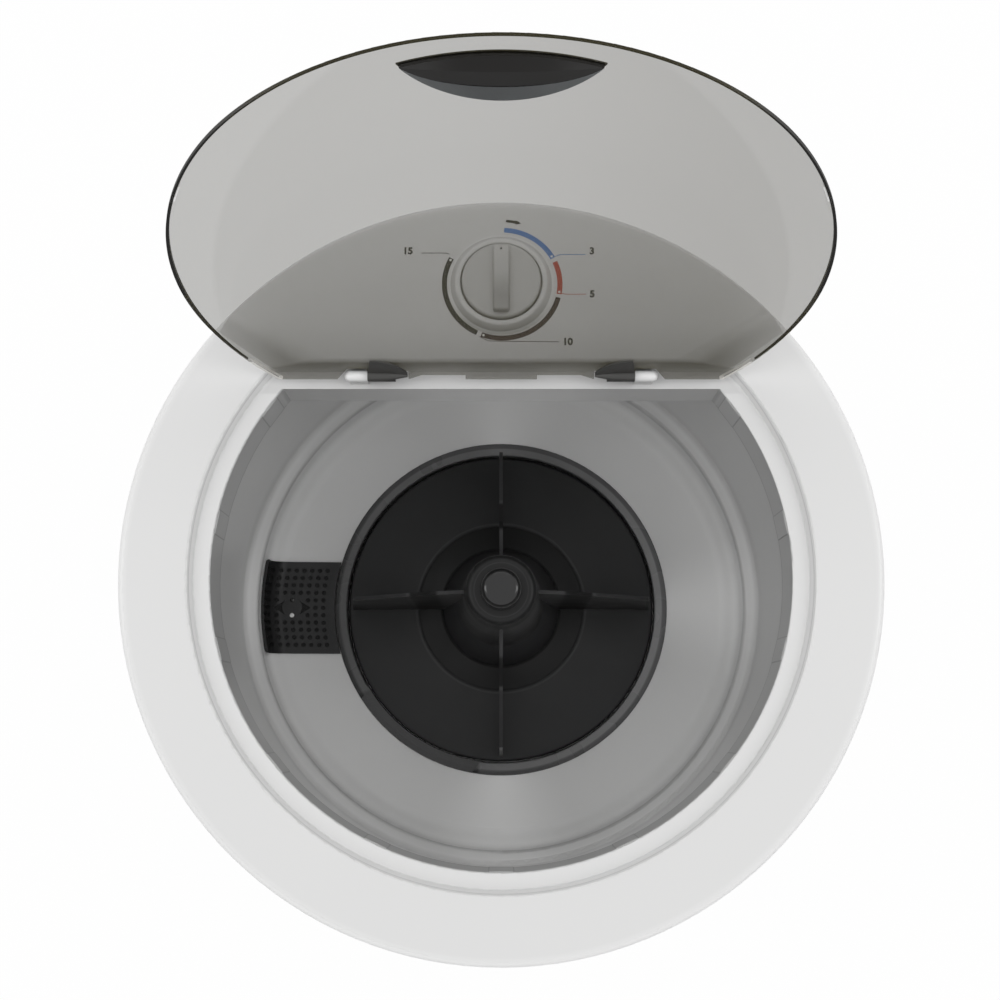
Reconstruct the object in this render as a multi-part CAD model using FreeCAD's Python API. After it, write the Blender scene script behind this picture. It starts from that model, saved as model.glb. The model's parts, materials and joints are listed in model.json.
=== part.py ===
import FreeCAD, Part
import math
import os

V = FreeCAD.Vector
UP = V(0, 0, 1)
ACROSS = V(1, 0, 0)

# Driving dimensions, in millimetres. X is to the right, Y to the back, Z up from the floor.

# Whole machine
rim_top = 760.0  # flat ring of the top cover above the floor
rim_radius = 245.0  # outside of the top cover
wall = 3.0  # moulded wall of cover, tub and cabinet
run_gap = 0.05  # radial clearance of a shaft, pin or screw in its hole
seat_gap = 0.3  # clearance between mouldings that move past each other
edge_round = 1.0  # small rounding of moulded edges

# Top cover: flat ring, recess for the lid, mouth of the tub
rim_round = 4.0  # rounding of the outer edge
ring_width = 44.0  # flat ring, from the outside to the recess
step_run = 3.0  # sloping side of the recess, seen from above
ledge_width = 11.1  # flat ledge that carries the closed lid
recess_depth = 8.0
mouth_setback = 122.9  # straight rear edge of the mouth, from the rim's back
cover_height = 60.0  # outer wall of the cover
skirt_height = 45.0  # inner skirt below the ledge
cover_overlap = 12.0  # cover reaching down over the cabinet
tab_width = 16.0
tab_proud = 0.4
tab_count = 11
tab_first_deg = 36.25  # first and last tab, from the right and from the left
cover_boss_radius = 6.0
cover_boss_inset = 20.0  # boss axis, from the rim's outside
cover_boss_degs = (25.0, 155.0, -25.0, -155.0, -75.0, -105.0)

# Control deck behind the mouth
deck_rise = 16.0  # front edge above the flat ring
deck_front_lean = 1.8  # front wall leaning back
deck_half_width = 147.0  # at the front, on the flat ring
deck_side_tilt_deg = 45.0
deck_side_yaw_deg = 55.0
deck_round = 3.0
deck_side_round = 14.0  # soft edge between the sloping top and the sides

# Timer and its knob
knob_setback = 57.0  # knob axis, from the rim's back
knob_radius = 25.5
knob_gap = 0.8  # between the knob and the collar round it
knob_height = 7.0
grip_width = 10.6
grip_height = 5.0
grip_inset = 3.2  # ends of the grip bar, from the knob's edge
grip_corner = 2.0
collar_width = 6.5
collar_height = 4.5
spindle_radius = 3.0
spindle_hole = 5.0  # radius of the hole in the deck
timer_width = 44.0
timer_length = 40.0
timer_depth = 26.0
timer_corner = 4.0
timer_screw_spacing = 30.0
timer_screw_radius = 1.5
terminal_length = 8.0  # contact blade under the timer
terminal_thick = 2.0
splash_wall = 2.0
splash_gap = 4.0  # air round the timer inside its splash box

# Lid and its hinges
lid_margin = 4.5  # closed lid to the foot of the recess's side
lid_thick = 2.5
lid_round = 0.6
lid_foot_wall = 2.5
lid_foot_width = 14.0  # feet on which the closed lid rests
lid_foot_degs = (-20.0, -160.0)
lid_lean_deg = 68.8  # open lid above the horizontal, leaning back
lid_over_axis = 0.5  # lid's upper face above the hinge axis
hinge_setback = 6.5  # hinge axis behind the mouth's straight edge
hinge_rise = 2.0  # hinge axis above the flat ring
lid_edge_past = 0.6  # lid's straight edge, behind the hinge axis
lid_edge_recess = 4.5  # edge drawn in between the middle tab and the hinges, from the axis
lid_edge_slant = 9.0  # drawn-in edge running out to the hinge
lid_tab_half = 23.0
knuckle_inner = 60.0  # pointed end, from the middle plane
knuckle_length = 26.0
knuckle_radius = 3.8
knuckle_tip = 1.0
knuckle_shoulder = 11.0  # from the pointed end to the shoulder of the bullet
knuckle_shoulder_radius = 3.1
knuckle_forward = 5.5  # bullet in front of the hinge axis, towards the free edge
knuckle_drop = 0.9  # bullet's middle below the lid
hinge_eye_radius = 3.6
knuckle_leaf = 22.0  # leaf glued under the lid, from the hinge axis to its high end
leaf_low = 8.0  # the same at its pointed end
leaf_bow = 4.5  # leaf's curved edge, above the straight line between its ends
leaf_thick = 1.2
leaf_cut = 2.0  # slanting outer end of the leaf
boss_length = 15.0
boss_radius = 3.6
boss_notch = 12.0  # lid cut away round the boss, from the hinge axis
boss_notch_top = 12.6  # length of the notch at its head
boss_notch_foot = 19.5  # and at the lid's edge
hinge_pin_radius = 1.8
hinge_pin_reach = 12.0  # pin inside the boss

# Finger grip of the lid
grip_eye_width = 104.0
grip_eye_edge = 15.0  # from the lid's free edge
grip_eye_back = 34.2  # height of the eye at the lid's face
grip_eye_bow = 9.1  # ends of the eye, behind its front edge
grip_cup_depth = 7.0  # under the lid
grip_front_run = 4.0  # front side of the cup, from the lid to its floor
grip_back_run = 19.6  # hinge side of the cup
grip_wall = 2.0
grip_flange = 0.8
grip_flange_thick = 1.0

# Wash tub
tub_inset = 39.0  # tub's mouth inside the rim
tub_depth = 338.0  # flat ring to the floor at the impeller well
tub_ledge_height = 48.0  # small ledge above the floor
tub_ledge_width = 11.0
tub_ledge_drop = 4.0  # ledge sloping down inwards
tub_ledge_round = 6.0  # hollow rounding where the wall meets the ledge
tub_taper = 3.0  # wall narrowing down to the ledge
floor_rise = 7.0  # floor rising outwards
floor_round = 17.0
well_depth = 20.0
spout_bore = 11.0
spout_length = 20.0
pocket_depth = 22.0
pocket_side = 2.2  # filter plate overlapping the drain pocket

# Impeller and the dark ring round it
impeller_radius = 123.8
impeller_gap = 1.2
disc_drop = 2.0  # disc's edge below the tub floor
disc_thick = 4.0
ring_skirt = 3.6
ring_lip = 6.1
ring_height = 3.0
ring_skirt_depth = 14.0
ring_flat_from_deg = -150.0
ring_flat_to_deg = -97.0
ring_flat_slant_deg = 3.5  # slanting ends of the flat stretch
disc_rise = 4.0  # disc rising inwards to its outer step
step_outer = 68.0
step_inner = 46.7
step_height = 1.2
step_draft = 2.0
hub_height = 235.0  # cap above the disc's edge
shoulder_radius = 24.6
shoulder_drop = 22.0  # shoulder below the top of the cap
hub_waist = 33.0  # radius of the hub above its flared foot
hub_flare = 50.0  # height and rounding of the flare
cap_radius = 14.9
cap_crown = 4.5  # rounded top edge of the cap
cap_dome = 0.8  # slight dome of its middle
cap_plug = 12.0
blade_thick = 2.6
blade_drop = 19.0  # blade's inner top below the shoulder
blade_kink = 52.0
blade_fall = 16.0  # top edge falling from the hub to the kink
blade_outer_height = 120.0
blade_end_gap = 3.4  # blade's end inside the disc's edge
blade_draft = 9.0  # blade's end leaning in towards its top
hub_bore = 11.0  # screw well under the cap
hub_screw_bite = 20.0
hub_screw_head = 5.0

# Lint filter over the drain
filter_half_length = 37.2
filter_thick = 2.4
filter_rise = 30.0  # plate's outer end turned up the wall, above the floor
filter_corner = 2.4
filter_hole = 1.8
filter_pitch_x = 6.25
filter_pitch_y = 6.03
filter_inner_margin = 9.2  # plain border beside the ring
filter_outer_margin = 3.0
filter_end_margin = 6.6
filter_centre_column = 4  # column of the eye, counted from the ring's side
filter_eye = 8.0  # plain eye in the middle
filter_plain_x = 13.0  # half length of the patch without holes
filter_plain_y = 10.8
arrow_tip = 15.0  # from the middle of the eye
arrow_half = 5.8

# Shaft, bearings and pulley
shaft_radius = 8.0
spigot_radius = 7.0  # shaft's upper end, inside the impeller
housing_radius = 22.0
flange_radius = 46.0
flange_thick = 6.0
neck_radius = 15.0
neck_height = 9.0
gasket_thick = 1.5
bush_wall = 4.0
bush_length = 22.0
shaft_room = 1.0  # housing clear of the shaft between the bushes
seal_height = 6.0
housing_screw_circle = 35.0
housing_screw_radius = 3.0
screw_bite = 8.0
hex_corner_share = 1.9  # hexagon head's corner, per shank radius
hex_depth_share = 1.4  # hexagon head's depth, per shank radius
large_pulley_radius = 76.0
small_pulley_radius = 21.25
groove_depth = 7.0
pulley_width = 15.0
belt_top_width = 9.4
belt_bottom_width = 6.0
belt_height = 6.0
belt_bed = 1.0  # belt above the bottom of the groove
pulley_hub_radius = 18.0
pulley_hub_length = 30.0
pulley_holes = 6
web_margin = 5.0  # solid web inside and outside the pulley's holes
clip_thick = 1.5
clip_proud = 4.0  # spring clip standing out of the shaft
clip_groove = 1.0
nut_height = 8.0
nut_across = 19.0

# Motor under its bracket
motor_offset = 130.0  # motor axis from the machine's axis
bracket_thick = 3.0
bracket_half_width = 92.0
bracket_front_reach = 70.0  # on the side away from the motor
bracket_margin = 72.0  # past the motor's axis
bracket_round = 22.0
bracket_boss_radius = 8.0
post_setback = 54.0  # tub's post, from the bracket's far edge
post_inset = 12.0  # tub's post, from the bracket's side
mount_height = 8.0
mount_radius = 9.0
motor_half = 54.0
motor_corner = 14.0
motor_bolt_spacing = 88.0
motor_bolt_radius = 2.5
bell_height = 14.0
bell_wall = 3.0
stator_radius = 54.0
stator_height = 52.0
winding_height = 5.0
winding_gap = 2.0  # end turns clear of rotor and bell
air_gap = 0.5
vent_margin = 7.0
vent_width = 6.0
vent_count = 8
rotor_radius = 32.0
motor_shaft_radius = 6.0
motor_bearing_radius = 13.0
fan_radius = 46.0
fan_blades = 10
fan_height = 9.0
fan_disc = 2.0
fan_gap = 2.0  # air above and below the fan
capacitor_radius = 17.0
capacitor_height = 58.0
capacitor_x = 40.0
capacitor_gap = 2.0  # clip to the bracket's turned-down edge
band_wall = 1.5
band_height = 12.0
band_foot = 14.0

# Cabinet, base and feet
cabinet_taper = 27.0  # cabinet narrowing down to the base
base_height = 18.0
base_upstand = 16.0
base_ring_width = 62.0
base_proud = 2.0  # base standing out past the cabinet
base_toe = 4.0  # bevel under the base's outer edge
corner_degs = (45.0, 135.0, 225.0, 315.0)  # feet and base screws
foot_height = 12.0
foot_radius = 20.0
foot_toe_radius = 17.0
foot_peg_radius = 7.0
foot_peg_height = 6.0
foot_inset = 30.0
base_screw_radius = 2.0
screw_head_radius = 4.0
screw_head_height = 2.4
outlet_height = 95.0
outlet_reach = 25.0
hose_wall = 3.0
hose_bend = 30.0
outlet_flange = 24.0
gland_height = 120.0
gland_radius = 9.0
gland_bore = 4.0
gland_collar = 13.5
gland_reach = 14.0

# Worked-out levels and radii
ring_inner = rim_radius - ring_width
ledge_outer = ring_inner - step_run
mouth_radius = ledge_outer - ledge_width
ledge_z = rim_top - recess_depth
cover_bottom = rim_top - cover_height
skirt_bottom = ledge_z - skirt_height
cabinet_top = cover_bottom + cover_overlap
cabinet_radius = rim_radius - wall - seat_gap
mouth_y = rim_radius - mouth_setback
hinge_y = mouth_y + hinge_setback
hinge_z = rim_top + hinge_rise
knuckle_outer = knuckle_inner + knuckle_length
lean = math.radians(lid_lean_deg)
lid_reach = (deck_rise - hinge_rise + lid_over_axis * math.cos(lean)) / math.sin(lean)
deck_edge_y = hinge_y + lid_reach * math.cos(lean) + lid_over_axis * math.sin(lean) + seat_gap
deck_foot_y = deck_edge_y - deck_front_lean
deck_back_y = rim_radius - rim_round
deck_slope = math.atan2(deck_rise, deck_back_y - deck_edge_y)
deck_normal = V(0, math.sin(deck_slope), math.cos(deck_slope))
knob_y = rim_radius - knob_setback
knob_z = rim_top + deck_rise - (knob_y - deck_edge_y) * math.tan(deck_slope)
lid_radius = ledge_outer - lid_margin
lid_top = hinge_z + lid_over_axis
lid_under = lid_top - lid_thick
tub_radius = rim_radius - tub_inset
tub_rim = cabinet_top + wall
tub_lower_radius = tub_radius - tub_taper - tub_ledge_width
floor_z = rim_top - tub_depth
well_floor = floor_z - well_depth
ring_bore = impeller_radius + impeller_gap
well_radius = ring_bore + ring_skirt + seat_gap
ring_outer = well_radius + ring_lip
disc_z = floor_z - disc_drop
cap_top = disc_z + hub_height
shoulder_z = cap_top - shoulder_drop
well_under = well_floor - wall
flange_top = well_under - gasket_thick
bracket_top = flange_top - flange_thick
bracket_under = bracket_top - bracket_thick
shaft_step = well_floor + neck_height + 2 * seat_gap
boss_top = shaft_step + (shoulder_z - shaft_step) / 2
step_low = disc_z + disc_rise
step_high = step_low + step_height
inner_low = step_high + step_draft
inner_high = inner_low + step_height
motor_top = bracket_under - mount_height
stator_top = motor_top - bell_height
stator_bottom = stator_top - stator_height
motor_bottom = stator_bottom - bell_height
fan_top = motor_bottom - fan_gap
belt_z = fan_top - fan_height - fan_gap - pulley_width / 2
clip_z = belt_z + pulley_hub_length / 2
housing_bottom = clip_z + clip_thick + seat_gap
shaft_bottom = belt_z - pulley_hub_length / 2 - nut_height - 2 * wall
filter_inner = ring_outer + seat_gap
filter_outer = tub_lower_radius - seat_gap
pocket_x = -(filter_inner + filter_outer) / 2
pocket_half_x = (filter_outer - filter_inner) / 2 - 2 * pocket_side
pocket_half_y = filter_half_length - pocket_side
pocket_floor = floor_z - pocket_depth
spout_bottom = pocket_floor - wall - spout_length
base_top = foot_height + base_height
cabinet_base_radius = cabinet_radius - cabinet_taper
floor_slope = math.atan2(floor_rise, tub_lower_radius - well_radius)


# Shared shapes

def bar(radius, length, base, axis=UP):
    """Round bar from its base point along an axis."""
    return Part.makeCylinder(radius, length, base, axis)


def tube(outer, inner, length, base, axis=UP):
    """Round tube from its base point along an axis."""
    return bar(outer, length, base, axis).cut(bar(inner, length, base, axis))


def block(x_range, y_range, z_range):
    """Rectangular block between pairs of limits."""
    low = V(x_range[0], y_range[0], z_range[0])
    return Part.makeBox(x_range[1] - low.x, y_range[1] - low.y, z_range[1] - low.z, low)


def fused(first, others):
    """One solid out of several that overlap."""
    return first.multiFuse(list(others)).removeSplitter()


def polar(radius, degrees, z=0.0):
    """Point at a radius and an angle from +X."""
    angle = math.radians(degrees)
    return V(radius * math.cos(angle), radius * math.sin(angle), z)


def turned_about(shape, degrees, centre=V(0, 0, 0), axis=UP):
    """Copy of a shape turned about an axis."""
    copy = shape.copy()
    copy.rotate(centre, axis, degrees)
    return copy


def spaced_round(shape, count):
    """Copies of a shape at equal angles about Z."""
    return [turned_about(shape, 360.0 * k / count) for k in range(count)]


def mirrored(shape):
    """Mirror image across the middle plane."""
    return shape.mirror(V(0, 0, 0), ACROSS)


def outline(corners, place):
    """Closed wire through (a, b, radius) corners, each rounded by its own radius."""
    points = [V(a, b, 0) for a, b, _ in corners]
    count = len(points)
    stretches = []
    for k, (_, _, radius) in enumerate(corners):
        corner = points[k]
        before = (points[k - 1] - corner).normalize()
        after = (points[(k + 1) % count] - corner).normalize()
        half = math.acos(max(-1.0, min(1.0, before.dot(after)))) / 2
        reach = radius / math.tan(half)
        middle = (before + after).normalize() if radius else V(0, 0, 0)
        bend = corner + middle * (radius / math.sin(half) - radius)
        stretches.append((corner + before * reach, bend, corner + after * reach, radius))
    edges = []
    for k, (start, bend, end, radius) in enumerate(stretches):
        last = stretches[k - 1][2]
        if last.distanceToPoint(start) > 1e-6:
            edges.append(Part.LineSegment(place(last), place(start)).toShape())
        if radius:
            edges.append(Part.Arc(place(start), place(bend), place(end)).toShape())
    return Part.Wire(edges)


def turned(corners):
    """Solid of revolution about Z from (radius, height, rounding) corners."""
    wire = outline(corners, lambda p: V(p.x, 0, p.y))
    return Part.Face(wire).revolve(V(0, 0, 0), UP, 360.0)


def slab(corners, bottom, thick):
    """Flat plate with an (x, y, rounding) outline."""
    wire = outline(corners, lambda p: V(p.x, p.y, bottom))
    return Part.Face(wire).extrude(V(0, 0, thick))


def rectangle(half_x, half_y, radius):
    """Corners of a rounded rectangle about the origin."""
    signs = ((-1, -1), (1, -1), (1, 1), (-1, 1))
    return [(a * half_x, b * half_y, radius) for a, b in signs]


def beyond(point, normal):
    """Large block on the far side of a plane."""
    size = 4 * rim_radius
    far = Part.makeBox(size, size, size, V(-size / 2, -size / 2, 0))
    far.Placement = FreeCAD.Placement(point, FreeCAD.Rotation(UP, normal))
    return far


def on_deck(shape):
    """Shape built about the origin, stood on the deck at the knob's axis."""
    shape.Placement = FreeCAD.Placement(V(0, knob_y, knob_z), FreeCAD.Rotation(UP, deck_normal))
    return shape


def opened(shape):
    """Lid piece drawn closed, swung back to its open rest."""
    return turned_about(shape, lid_lean_deg - 180.0, V(0, hinge_y, hinge_z), ACROSS)


# Top cover

def deck_block(inset, bottom):
    """Wedge of the control deck, drawn in from its outside by an inset."""
    front = ACROSS.cross(V(0, deck_edge_y - deck_foot_y, rim_top + deck_rise - ledge_z)).normalize()
    yaw = math.radians(deck_side_yaw_deg)
    tilt = math.radians(deck_side_tilt_deg)
    side = V(math.sin(tilt) * math.cos(yaw), -math.sin(tilt) * math.sin(yaw), math.cos(tilt))
    top_corner = V(0, deck_edge_y, rim_top + deck_rise)
    side_corner = V(deck_half_width, deck_foot_y, rim_top)
    reach = rim_radius
    wedge = block((-reach, reach), (0, reach), (bottom, rim_top + 2 * deck_rise))
    side_cut = beyond(side_corner - side * inset, side)
    wedge = wedge.cut(beyond(top_corner - deck_normal * inset, deck_normal))
    wedge = wedge.cut(beyond(V(0, deck_foot_y + inset, ledge_z), front))
    wedge = wedge.cut(side_cut).cut(mirrored(side_cut))
    if not inset:
        wedge = wedge.makeFillet(deck_side_round, deck_crest(wedge, top_corner, True))
        wedge = wedge.makeFillet(deck_round, deck_crest(wedge, top_corner, False))
    return wedge.common(bar(rim_radius - rim_round - inset, 3 * cover_height, V(0, 0, bottom)))


def deck_crest(wedge, corner, at_sides):
    """Edges of the deck's sloping top: those at its sides, or the one along its front."""
    crest = []
    for edge in wedge.Edges:
        heights = [abs((v.Point - corner).dot(deck_normal)) for v in edge.Vertexes]
        sideways = edge.BoundBox.YLength > deck_round
        if max(heights) < 0.01 and edge.BoundBox.YMin < deck_back_y - deck_round and sideways == at_sides:
            crest.append(edge)
    return crest


def top_cover():
    """Ring, lid recess, control deck, skirt with its tabs, hinge bosses and dial collar."""
    inner = rim_radius - wall
    under = rim_top - wall
    shell = turned([
        (rim_radius, cover_bottom, 0),
        (rim_radius, rim_top, rim_round),
        (ring_inner, rim_top, 1.5 * edge_round),
        (ledge_outer, ledge_z, edge_round),
        (mouth_radius, ledge_z, edge_round),
        (mouth_radius, skirt_bottom, 0),
        (mouth_radius + wall, skirt_bottom, 0),
        (mouth_radius + wall, ledge_z - wall, 0),
        (ledge_outer + wall / 2, ledge_z - wall, 0),
        (ring_inner + wall / 2, under, 0),
        (inner, under, rim_round - wall),
        (inner, cover_bottom, 0),
    ])
    rear_shelf = bar(mouth_radius + wall / 2, wall, V(0, 0, ledge_z - wall))
    rear_shelf = rear_shelf.common(block((-rim_radius, rim_radius), (mouth_y, rim_radius), (0, rim_top)))
    half_mouth = math.sqrt((mouth_radius + wall / 2) ** 2 - mouth_y ** 2)
    rear_skirt = block((-half_mouth, half_mouth), (mouth_y, mouth_y + wall), (skirt_bottom, ledge_z))
    cover = fused(shell, [rear_shelf, rear_skirt, deck_block(0.0, ledge_z - wall)])
    hollow = deck_block(wall, skirt_bottom - wall)
    hollow = hollow.common(bar(inner - rim_round, 3 * cover_height, V(0, 0, skirt_bottom - wall)))
    cover = cover.cut(hollow)
    pocket = hinge_eye_radius + 4 * seat_gap
    boss_face = V(knuckle_outer, hinge_y, hinge_z)
    tip_face = V(knuckle_inner, hinge_y, hinge_z)
    backing = bar(pocket + wall, knuckle_length + 2 * wall, tip_face - ACROSS * wall, ACROSS)
    backing = backing.common(deck_block(0.0, ledge_z - wall))
    boss = bar(boss_radius, boss_length - boss_radius, boss_face, ACROSS)
    foot = block(
        (knuckle_outer, knuckle_outer + boss_length - boss_radius),
        (hinge_y - boss_radius, hinge_y + boss_radius),
        (ledge_z - wall, hinge_z),
    )
    nose = Part.makeSphere(boss_radius, boss_face + ACROSS * (boss_length - boss_radius))
    extras = [backing, boss, foot, nose]
    cover = fused(cover, extras + [mirrored(piece) for piece in extras])
    swing = bar(pocket, knuckle_length + 2 * seat_gap, tip_face - ACROSS * 2 * seat_gap, ACROSS)
    bore = bar(hinge_pin_radius + run_gap, hinge_pin_reach + seat_gap, boss_face, ACROSS)
    for cutter in (swing, bore):
        cover = cover.cut(cutter).cut(mirrored(cutter))
    collar = turned([
        (knob_radius + knob_gap, -wall, 0),
        (knob_radius + knob_gap, collar_height, edge_round),
        (knob_radius + knob_gap + collar_width / 2, collar_height, 2 * edge_round),
        (knob_radius + knob_gap + collar_width, 0, 0),
        (knob_radius + knob_gap + collar_width, -wall, 0),
    ])
    cover = fused(cover, [on_deck(collar)] + skirt_tabs() + cover_bosses())
    holes = [bar(spindle_hole, 4 * wall, V(0, 0, -2 * wall))]
    for side in (-1, 1):
        place = V(side * timer_screw_spacing / 2, 0, -2 * wall)
        holes.append(bar(timer_screw_radius + run_gap, 4 * wall, place))
    for hole in holes:
        cover = cover.cut(on_deck(hole))
    return cover


def skirt_tabs():
    """Snap tabs moulded on the mouth's skirt, round its curved part."""
    tab = block((mouth_radius - tab_proud, mouth_radius + wall / 2), (-tab_width / 2, tab_width / 2),
                (skirt_bottom, ledge_z - wall))
    pitch = (180.0 + 2 * tab_first_deg) / (tab_count - 1)
    return [turned_about(tab, tab_first_deg - k * pitch) for k in range(tab_count)]


def cover_bosses():
    """Columns under the flat ring that stand on the tub's flange and take its screws."""
    radius = rim_radius - cover_boss_inset
    bosses = []
    for degrees in cover_boss_degs:
        column = bar(cover_boss_radius, rim_top - wall / 2 - tub_rim, polar(radius, degrees, tub_rim))
        hole = bar(base_screw_radius + run_gap, 2 * screw_bite, polar(radius, degrees, tub_rim))
        bosses.append(column.cut(hole))
    return bosses


def cover_screws():
    """Screws from below, through the tub's flange into the cover."""
    radius = rim_radius - cover_boss_inset
    screws = []
    for degrees in cover_boss_degs:
        seat = polar(radius, degrees, cabinet_top)
        head = bar(screw_head_radius, screw_head_height, seat - UP * screw_head_height)
        shank = bar(base_screw_radius, wall + screw_bite, seat)
        screws.append(head.fuse(shank).removeSplitter())
    return Part.makeCompound(screws)


def hinge_pins():
    """Steel pins fixed in the cover's bosses, on which the lid turns."""
    start = knuckle_inner + knuckle_shoulder
    pin = bar(hinge_pin_radius, knuckle_outer + hinge_pin_reach - start, V(start, hinge_y, hinge_z), ACROSS)
    return Part.makeCompound([pin, mirrored(pin)])


# Lid

def eye_wire(width, front, back, ends, z):
    """Eye-shaped outline of the grip: two arcs through the same two ends."""
    left = V(-width / 2, ends, z)
    right = V(width / 2, ends, z)
    near = Part.Arc(left, V(0, front, z), right).toShape()
    far = Part.Arc(right, V(0, back, z), left).toShape()
    return Part.Wire([near, far])


def eye_face(grow, z):
    """Flat face of the grip's outline, larger by a growth."""
    front = -lid_radius + grip_eye_edge
    back = front + grip_eye_back
    wire = eye_wire(grip_eye_width + 4 * grow, front - grow, back + 3 * grow, front + grip_eye_bow, z)
    return Part.Face(wire)


def eye_plate(grow, bottom, thick):
    """Flat eye-shaped plate of the grip's outline, larger by a growth."""
    return eye_face(grow, bottom).extrude(V(0, 0, thick))


def eye_hull(grow, depth):
    """Cup under the lid: two slanted sides, and a floor that rises to both ends like a boat's."""
    share = depth / grip_cup_depth
    mouth = eye_face(grow, lid_under)
    hull = mouth.extrude(V(0, share * grip_front_run, -depth))
    hull = hull.common(mouth.extrude(V(0, -share * grip_back_run, -depth)))
    half = grip_eye_width / 2 + 2 * grow
    sweep = (half ** 2 + depth ** 2) / (2 * depth)
    keel = bar(sweep, 2 * lid_radius, V(0, -2 * lid_radius, lid_under - depth + sweep), V(0, 1, 0))
    return hull.common(keel)


def lid_feet():
    """Two short feet under the lid's edge that stand on the ledge when it is closed."""
    height = lid_under - ledge_z - seat_gap
    rim = tube(lid_radius, lid_radius - lid_foot_wall, height + lid_thick / 2, V(0, 0, ledge_z + seat_gap))
    sector = block((0, 2 * lid_radius), (-lid_foot_width / 2, lid_foot_width / 2), (0, 2 * rim_top))
    return [rim.common(turned_about(sector, degrees)) for degrees in lid_foot_degs]


def lid_panel():
    """Clear lid: flat round panel with a straight rear edge, notched for the hinges, on two feet."""
    panel = turned([
        (0, lid_top, 0),
        (lid_radius, lid_top, lid_round),
        (lid_radius, lid_under, lid_round),
        (0, lid_under, 0),
    ])
    wide = (-rim_radius, rim_radius)
    edge_y = hinge_y + lid_edge_past
    high = (0, 2 * rim_top)
    panel = panel.cut(block(wide, (edge_y, rim_radius), high))
    recess_y = hinge_y - lid_edge_recess
    boss_y = hinge_y - boss_notch
    knuckle_y = hinge_y - knuckle_forward - knuckle_radius - seat_gap
    slant_x = knuckle_inner - lid_edge_slant
    notches = [
        slab([
            (lid_tab_half, recess_y, 0),
            (slant_x, recess_y, 0),
            (knuckle_inner, edge_y, 0),
            (lid_tab_half, edge_y, 0),
        ], 0, 2 * rim_top),
        block((knuckle_inner - seat_gap, knuckle_outer + seat_gap), (knuckle_y, rim_radius), high),
        slab([
            (knuckle_outer, boss_y, 0),
            (knuckle_outer + boss_notch_top, boss_y, edge_round),
            (knuckle_outer + boss_notch_foot, edge_y, 0),
            (knuckle_outer, edge_y, 0),
        ], 0, 2 * rim_top),
    ]
    for notch in notches:
        panel = panel.cut(notch).cut(mirrored(notch))
    panel = panel.cut(eye_plate(run_gap, lid_under - wall, 3 * wall))
    return opened(fused(panel, lid_feet()))


def lid_handle():
    """Dark finger cup let into the lid, boat-shaped underneath, with a thin flange on the outer face."""
    neck = eye_plate(0.0, lid_under, lid_thick)
    flange = eye_plate(grip_flange, lid_top, grip_flange_thick)
    body = fused(neck, [eye_hull(0.0, grip_cup_depth), flange])
    well = eye_plate(-grip_wall, lid_under, lid_thick + 2 * grip_flange_thick)
    return opened(body.cut(well).cut(eye_hull(-grip_wall, grip_cup_depth - grip_wall)))


def hinge_knuckle(side):
    """Hinge eye round the pin, with a bullet-shaped cover and a leaf with a curved edge under the lid."""
    length = knuckle_length - seat_gap
    nose = V(knuckle_inner, hinge_y - knuckle_forward, lid_under - knuckle_drop)
    bullet = turned([
        (0, 0, 0),
        (knuckle_tip, 0, edge_round / 2),
        (knuckle_shoulder_radius, knuckle_shoulder, knuckle_radius),
        (knuckle_radius, length, edge_round / 2),
        (0, length, 0),
    ])
    bullet.Placement = FreeCAD.Placement(nose, FreeCAD.Rotation(UP, ACROSS))
    eye_start = V(knuckle_inner + knuckle_shoulder - wall, hinge_y, hinge_z)
    eye = bar(hinge_eye_radius, length - knuckle_shoulder + wall, eye_start, ACROSS)
    low = lid_under - leaf_thick
    near = V(knuckle_inner, hinge_y - leaf_low, low)
    far = V(knuckle_outer - seat_gap - leaf_cut, hinge_y - knuckle_leaf, low)
    crest = (near + far) / 2 - V(0, leaf_bow, 0)
    feet = [V(knuckle_outer - seat_gap, nose.y, low), V(near.x, nose.y, low)]
    edges = [Part.Arc(near, crest, far).toShape()]
    for start, end in ((far, feet[0]), (feet[0], feet[1]), (feet[1], near)):
        edges.append(Part.LineSegment(start, end).toShape())
    leaf = Part.Face(Part.Wire(edges)).extrude(UP * leaf_thick)
    bore = bar(hinge_pin_radius + run_gap, knuckle_length, eye_start + ACROSS * (wall - seat_gap), ACROSS)
    knuckle = fused(bullet, [eye, leaf]).cut(bore)
    return opened(knuckle if side > 0 else mirrored(knuckle))


# Timer and knob

def knob():
    """Dial knob with a straight grip bar, hollow underneath."""
    foot = seat_gap
    dial = turned([
        (0, foot, 0),
        (knob_radius, foot, 0),
        (knob_radius, knob_height, 1.5 * edge_round),
        (0, knob_height, 0),
    ])
    dial = dial.cut(tube(knob_radius - wall, 2 * spindle_radius, knob_height - wall, V(0, 0, 0)))
    bar_outline = rectangle(grip_width / 2, knob_radius - grip_inset, grip_corner)
    grip = slab(bar_outline, knob_height - wall / 2, grip_height + wall / 2)
    top_edges = [e for e in grip.Edges if e.BoundBox.ZMin > knob_height + grip_height / 2]
    grip = grip.makeFillet(1.5 * edge_round, top_edges)
    socket = bar(spindle_radius + run_gap, knob_height - wall / 2, V(0, 0, 0))
    return on_deck(fused(dial, [grip]).cut(socket))


def timer_spindle():
    """Turning spindle of the timer, standing up through the deck."""
    foot = -wall - timer_depth / 2 + seat_gap
    return on_deck(bar(spindle_radius, knob_height - wall - foot, V(0, 0, foot)))


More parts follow.
